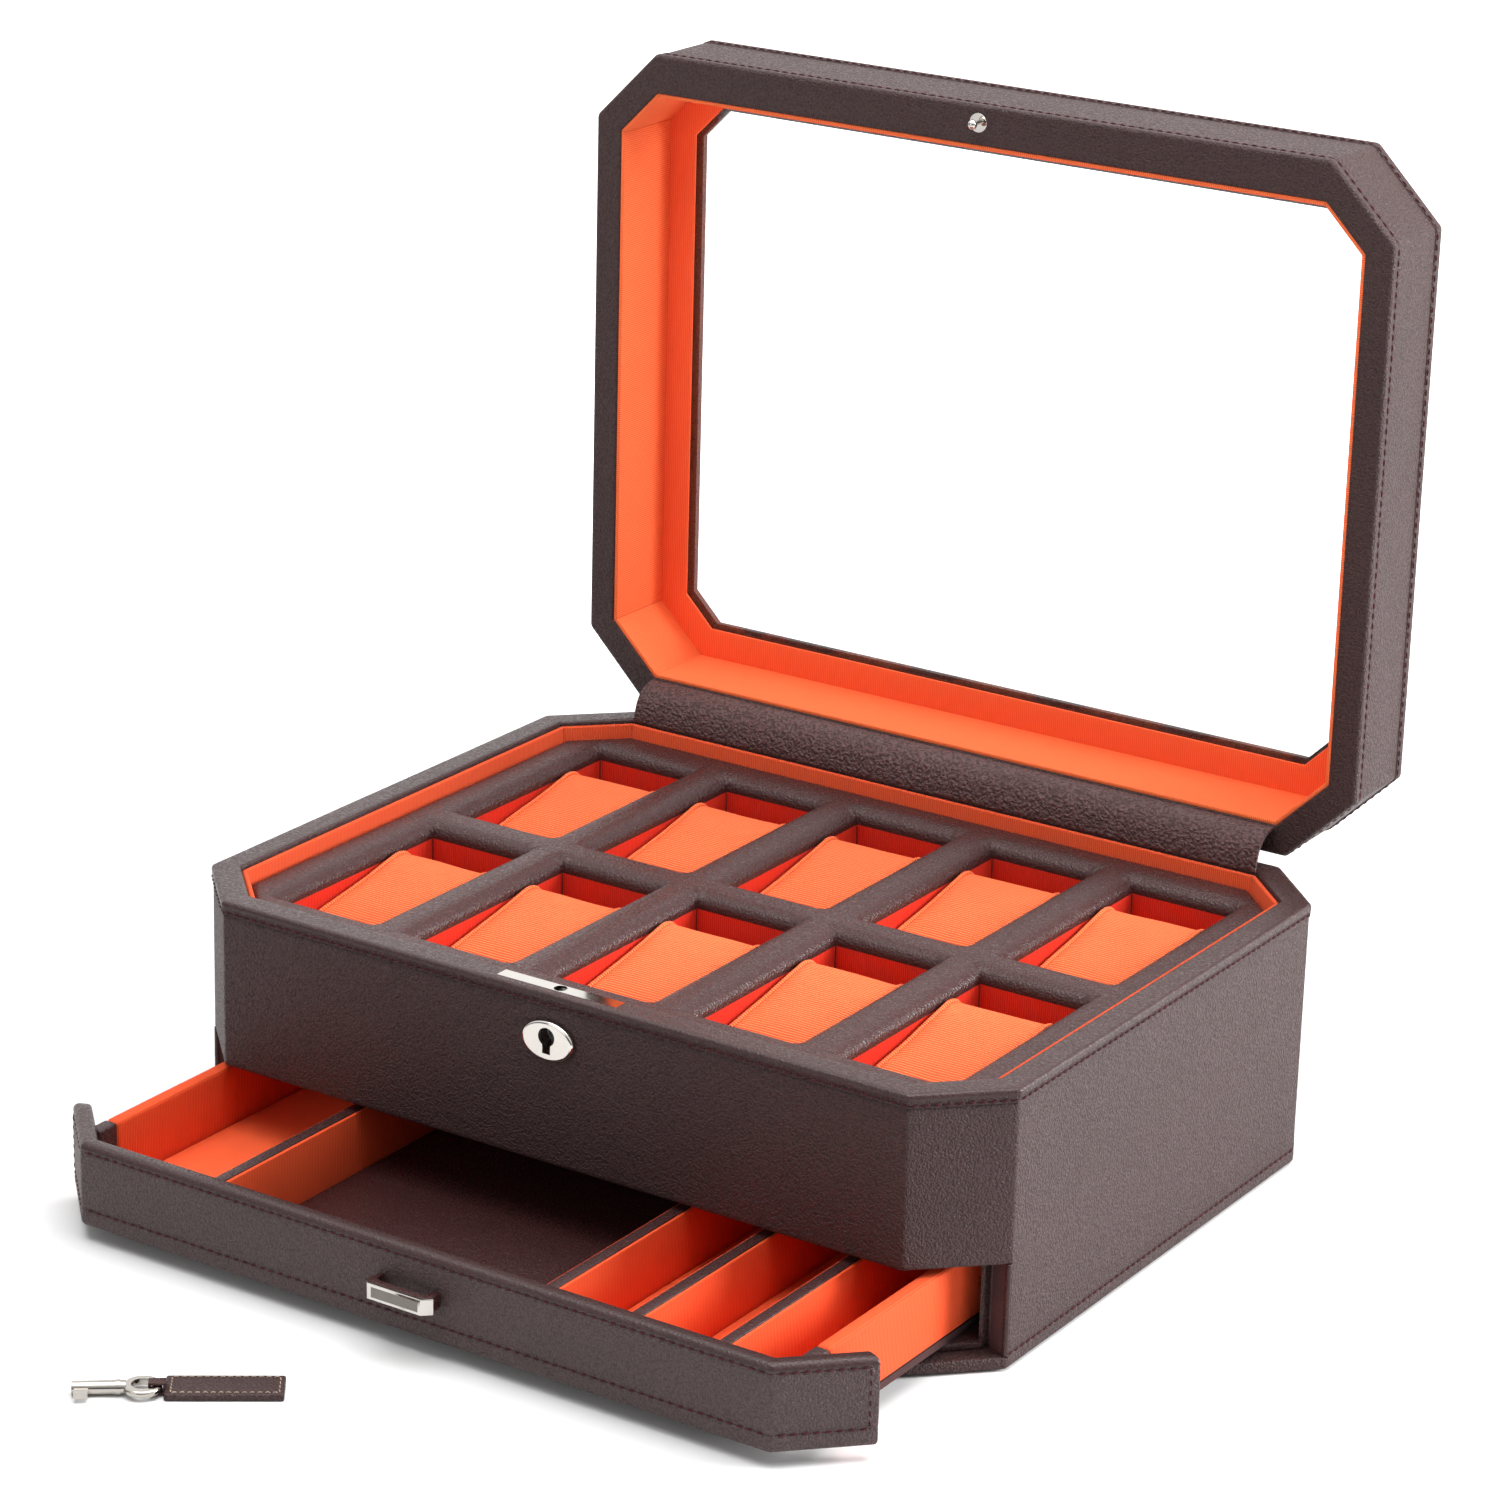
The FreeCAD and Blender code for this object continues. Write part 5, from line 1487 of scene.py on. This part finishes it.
def key_tag():
    """The stitched leather tag and the thong that ties it to the key."""
    turn = math.radians(-2)

    def on_tag(point):
        x, y, z = point
        dx = x - TAG_START
        turned = (
            TAG_START + dx * math.cos(turn) - y * math.sin(turn),
            dx * math.sin(turn) + y * math.cos(turn),
            z,
        )
        return key_on_floor(turned)

    near, far = TAG_START, TAG_START + TAG_LENGTH
    low, high = TAG_MIDDLE - TAG_HALF_WIDTH, TAG_MIDDLE + TAG_HALF_WIDTH
    outline = box_outline(near - 0.4, far, low, high)
    tag = slab("key_tag_leather", [outline], 0.02, TAG_THICK, 0.7, on_tag)
    finish_piece(tag, "key", "leather", "key_fob")
    bow_middle = 22.3
    left = bow_middle + 3.6 - 0.9
    right = bow_middle + 6.3 + 0.15
    bow_low, bow_high = 1.33, 3.73
    thong_parts = (
        (left - 0.9, right + 1.1, bow_low - 1.05, bow_low - 0.15),
        (left - 0.9, right + 1.1, bow_high + 0.15, bow_high + 1.05),
        (left - 0.9, left, bow_low - 0.6, bow_high + 0.6),
        (right, right + 1.1, bow_low - 0.6, bow_high + 0.6),
    )
    for number, (start, end, bottom, top) in enumerate(thong_parts, 1):
        outline = box_outline(start, end, -2, 2)
        part = slab(f"key_thong_{number}", [outline], bottom, top, 0.3, key_on_floor, steps=2)
        finish_piece(part, "key", "soft leather")
    up = (0, 0, 1)
    edge = 1.6
    corners = box_outline(near + edge, far - edge, low + edge, high - edge)
    lines = []
    for here, after in zip(corners, corners[1:] + corners[:1]):
        lines.append([((*here, TAG_THICK), up), ((*after, TAG_THICK), up)])
    stitching("key_tag_stitching", lines, "key", on_tag, 0.22, 2.4, "tag thread")


FLOOR_HALF = 12
FLOOR_LIFT = 0.0
ROOM_LIGHT = (0.12, 0.45)
ROOM_GLOSS = (0.12, 1.5)
LAMPS = (
    ("overhead", (0.1, -0.1, 1.7), (0, 0, 0.05), (1.9, 1.4), 38),
    ("right_side", (1.55, 0.85, 0.7), (0, 0, 0.1), (0.8, 0.8), 50),
    ("front_fill", (-0.5, -2.2, 0.9), (0, 0, 0.15), (1.4, 0.8), 8),
)


def seen_directly(tree, rays):
    """Whether the camera looks at a place itself, or through the glass."""
    return sums(tree, "MAXIMUM", rays["Is Camera Ray"], rays["Is Transmission Ray"])


def white_floor():
    """A floor that is white in the picture and keeps the shadow near the box."""
    mesh = bpy.data.meshes.new("floor")
    corners = box_outline(-FLOOR_HALF, FLOOR_HALF, -FLOOR_HALF, FLOOR_HALF)
    mesh.from_pydata([(x, y, 0) for x, y in corners], [], [(0, 1, 2, 3)])
    floor = add_object("floor", mesh)
    made, tree, shader = new_material(
        "floor_white",
        Roughness=0.9,
        Specular_IOR_Level=0.0,
        Base_Color=(0.9, 0.9, 0.9, 1),
        Emission_Color=(1, 1, 1, 1),
    )
    seen = seen_directly(tree, node(tree, "LightPath").outputs)
    distance = {"operation": "LENGTH"}
    away = node(tree, "VectorMath", distance, _0=where_on_piece(tree)).outputs["Value"]
    lift = spread(tree, away, 0.35, 0.9, FLOOR_LIFT, 1.0)
    feed(tree, shader, Emission_Strength=sums(tree, "MULTIPLY", seen, lift))
    mesh.materials.append(made)


def room():
    """A white room, brighter behind the box, and brighter still in what shines."""
    world = bpy.data.worlds.new("studio")
    bpy.context.scene.world = world
    world.use_nodes = True
    tree = world.node_tree
    rays = node(tree, "LightPath").outputs
    seen = seen_directly(tree, rays)
    direction = node(tree, "SeparateXYZ", _0=node(tree, "TexCoord").outputs["Generated"])
    backwards = sums(tree, "MULTIPLY_ADD", direction.outputs[2], 1.1, direction.outputs[1])
    fill = spread(tree, backwards, -0.7, 0.7, *ROOM_LIGHT)
    gloss = spread(tree, backwards, -0.7, 0.7, *ROOM_GLOSS)
    mix = node(tree, "Mix", _0=rays["Is Glossy Ray"], _2=fill, _3=gloss)
    background = tree.nodes["Background"]
    background.inputs["Color"].default_value = (1, 1, 1, 1)
    feed(tree, background, Strength=sums(tree, "MAXIMUM", seen, mix.outputs[0]))


def studio():
    """The floor, the room and soft lamps overhead, at the side and in front."""
    white_floor()
    room()
    for name, place, target, size, power in LAMPS:
        lamp = bpy.data.lights.new(name, "AREA")
        lamp.shape = "RECTANGLE"
        lamp.size, lamp.size_y = size
        lamp.energy = power
        made = add_object(name, lamp)
        made.location = place
        aim = Vector(target) - Vector(place)
        made.rotation_euler = aim.to_track_quat("-Z", "Y").to_euler()


CAMERA_LENS = 114.75
CAMERA_PLACE = (0.84579, -1.31456, 0.70416)
CAMERA_FORWARD = (-0.51230, 0.79091, -0.33468)
CAMERA_RIGHT = (0.83426, 0.55082, 0.02469)


def camera():
    """The camera that was fitted to the case's edges in the photo."""
    made = bpy.data.cameras.new("photo_view")
    made.sensor_width = 36
    made.lens = CAMERA_LENS
    made.clip_start = 0.05
    made.clip_end = 60
    view = add_object("photo_view", made)
    forward = Vector(CAMERA_FORWARD).normalized()
    right = Vector(CAMERA_RIGHT)
    right = (right - forward * right.dot(forward)).normalized()
    up = right.cross(forward)
    turn = Matrix((right, up, -forward)).transposed().to_4x4()
    view.matrix_world = Matrix.Translation(CAMERA_PLACE) @ turn
    bpy.context.scene.camera = view


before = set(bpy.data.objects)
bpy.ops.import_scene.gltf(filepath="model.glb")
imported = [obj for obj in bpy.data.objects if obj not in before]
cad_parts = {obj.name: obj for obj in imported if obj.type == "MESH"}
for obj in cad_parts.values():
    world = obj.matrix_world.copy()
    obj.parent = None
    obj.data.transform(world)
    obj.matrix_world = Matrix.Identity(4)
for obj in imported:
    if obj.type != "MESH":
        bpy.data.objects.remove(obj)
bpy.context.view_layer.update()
paint_cad(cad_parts)
case_leather()
base_parts()
bay_lining()
bay_mouth_rolls()
case_liner()
cell_corner_shadows()
tray_cap()
cushions()
lid_shell()
lid_lining()
hinge_leather()
drawer_front()
drawer_box()
pull()
key_tag()
studio()
camera()
bpy.context.scene.view_settings.view_transform = "Standard"
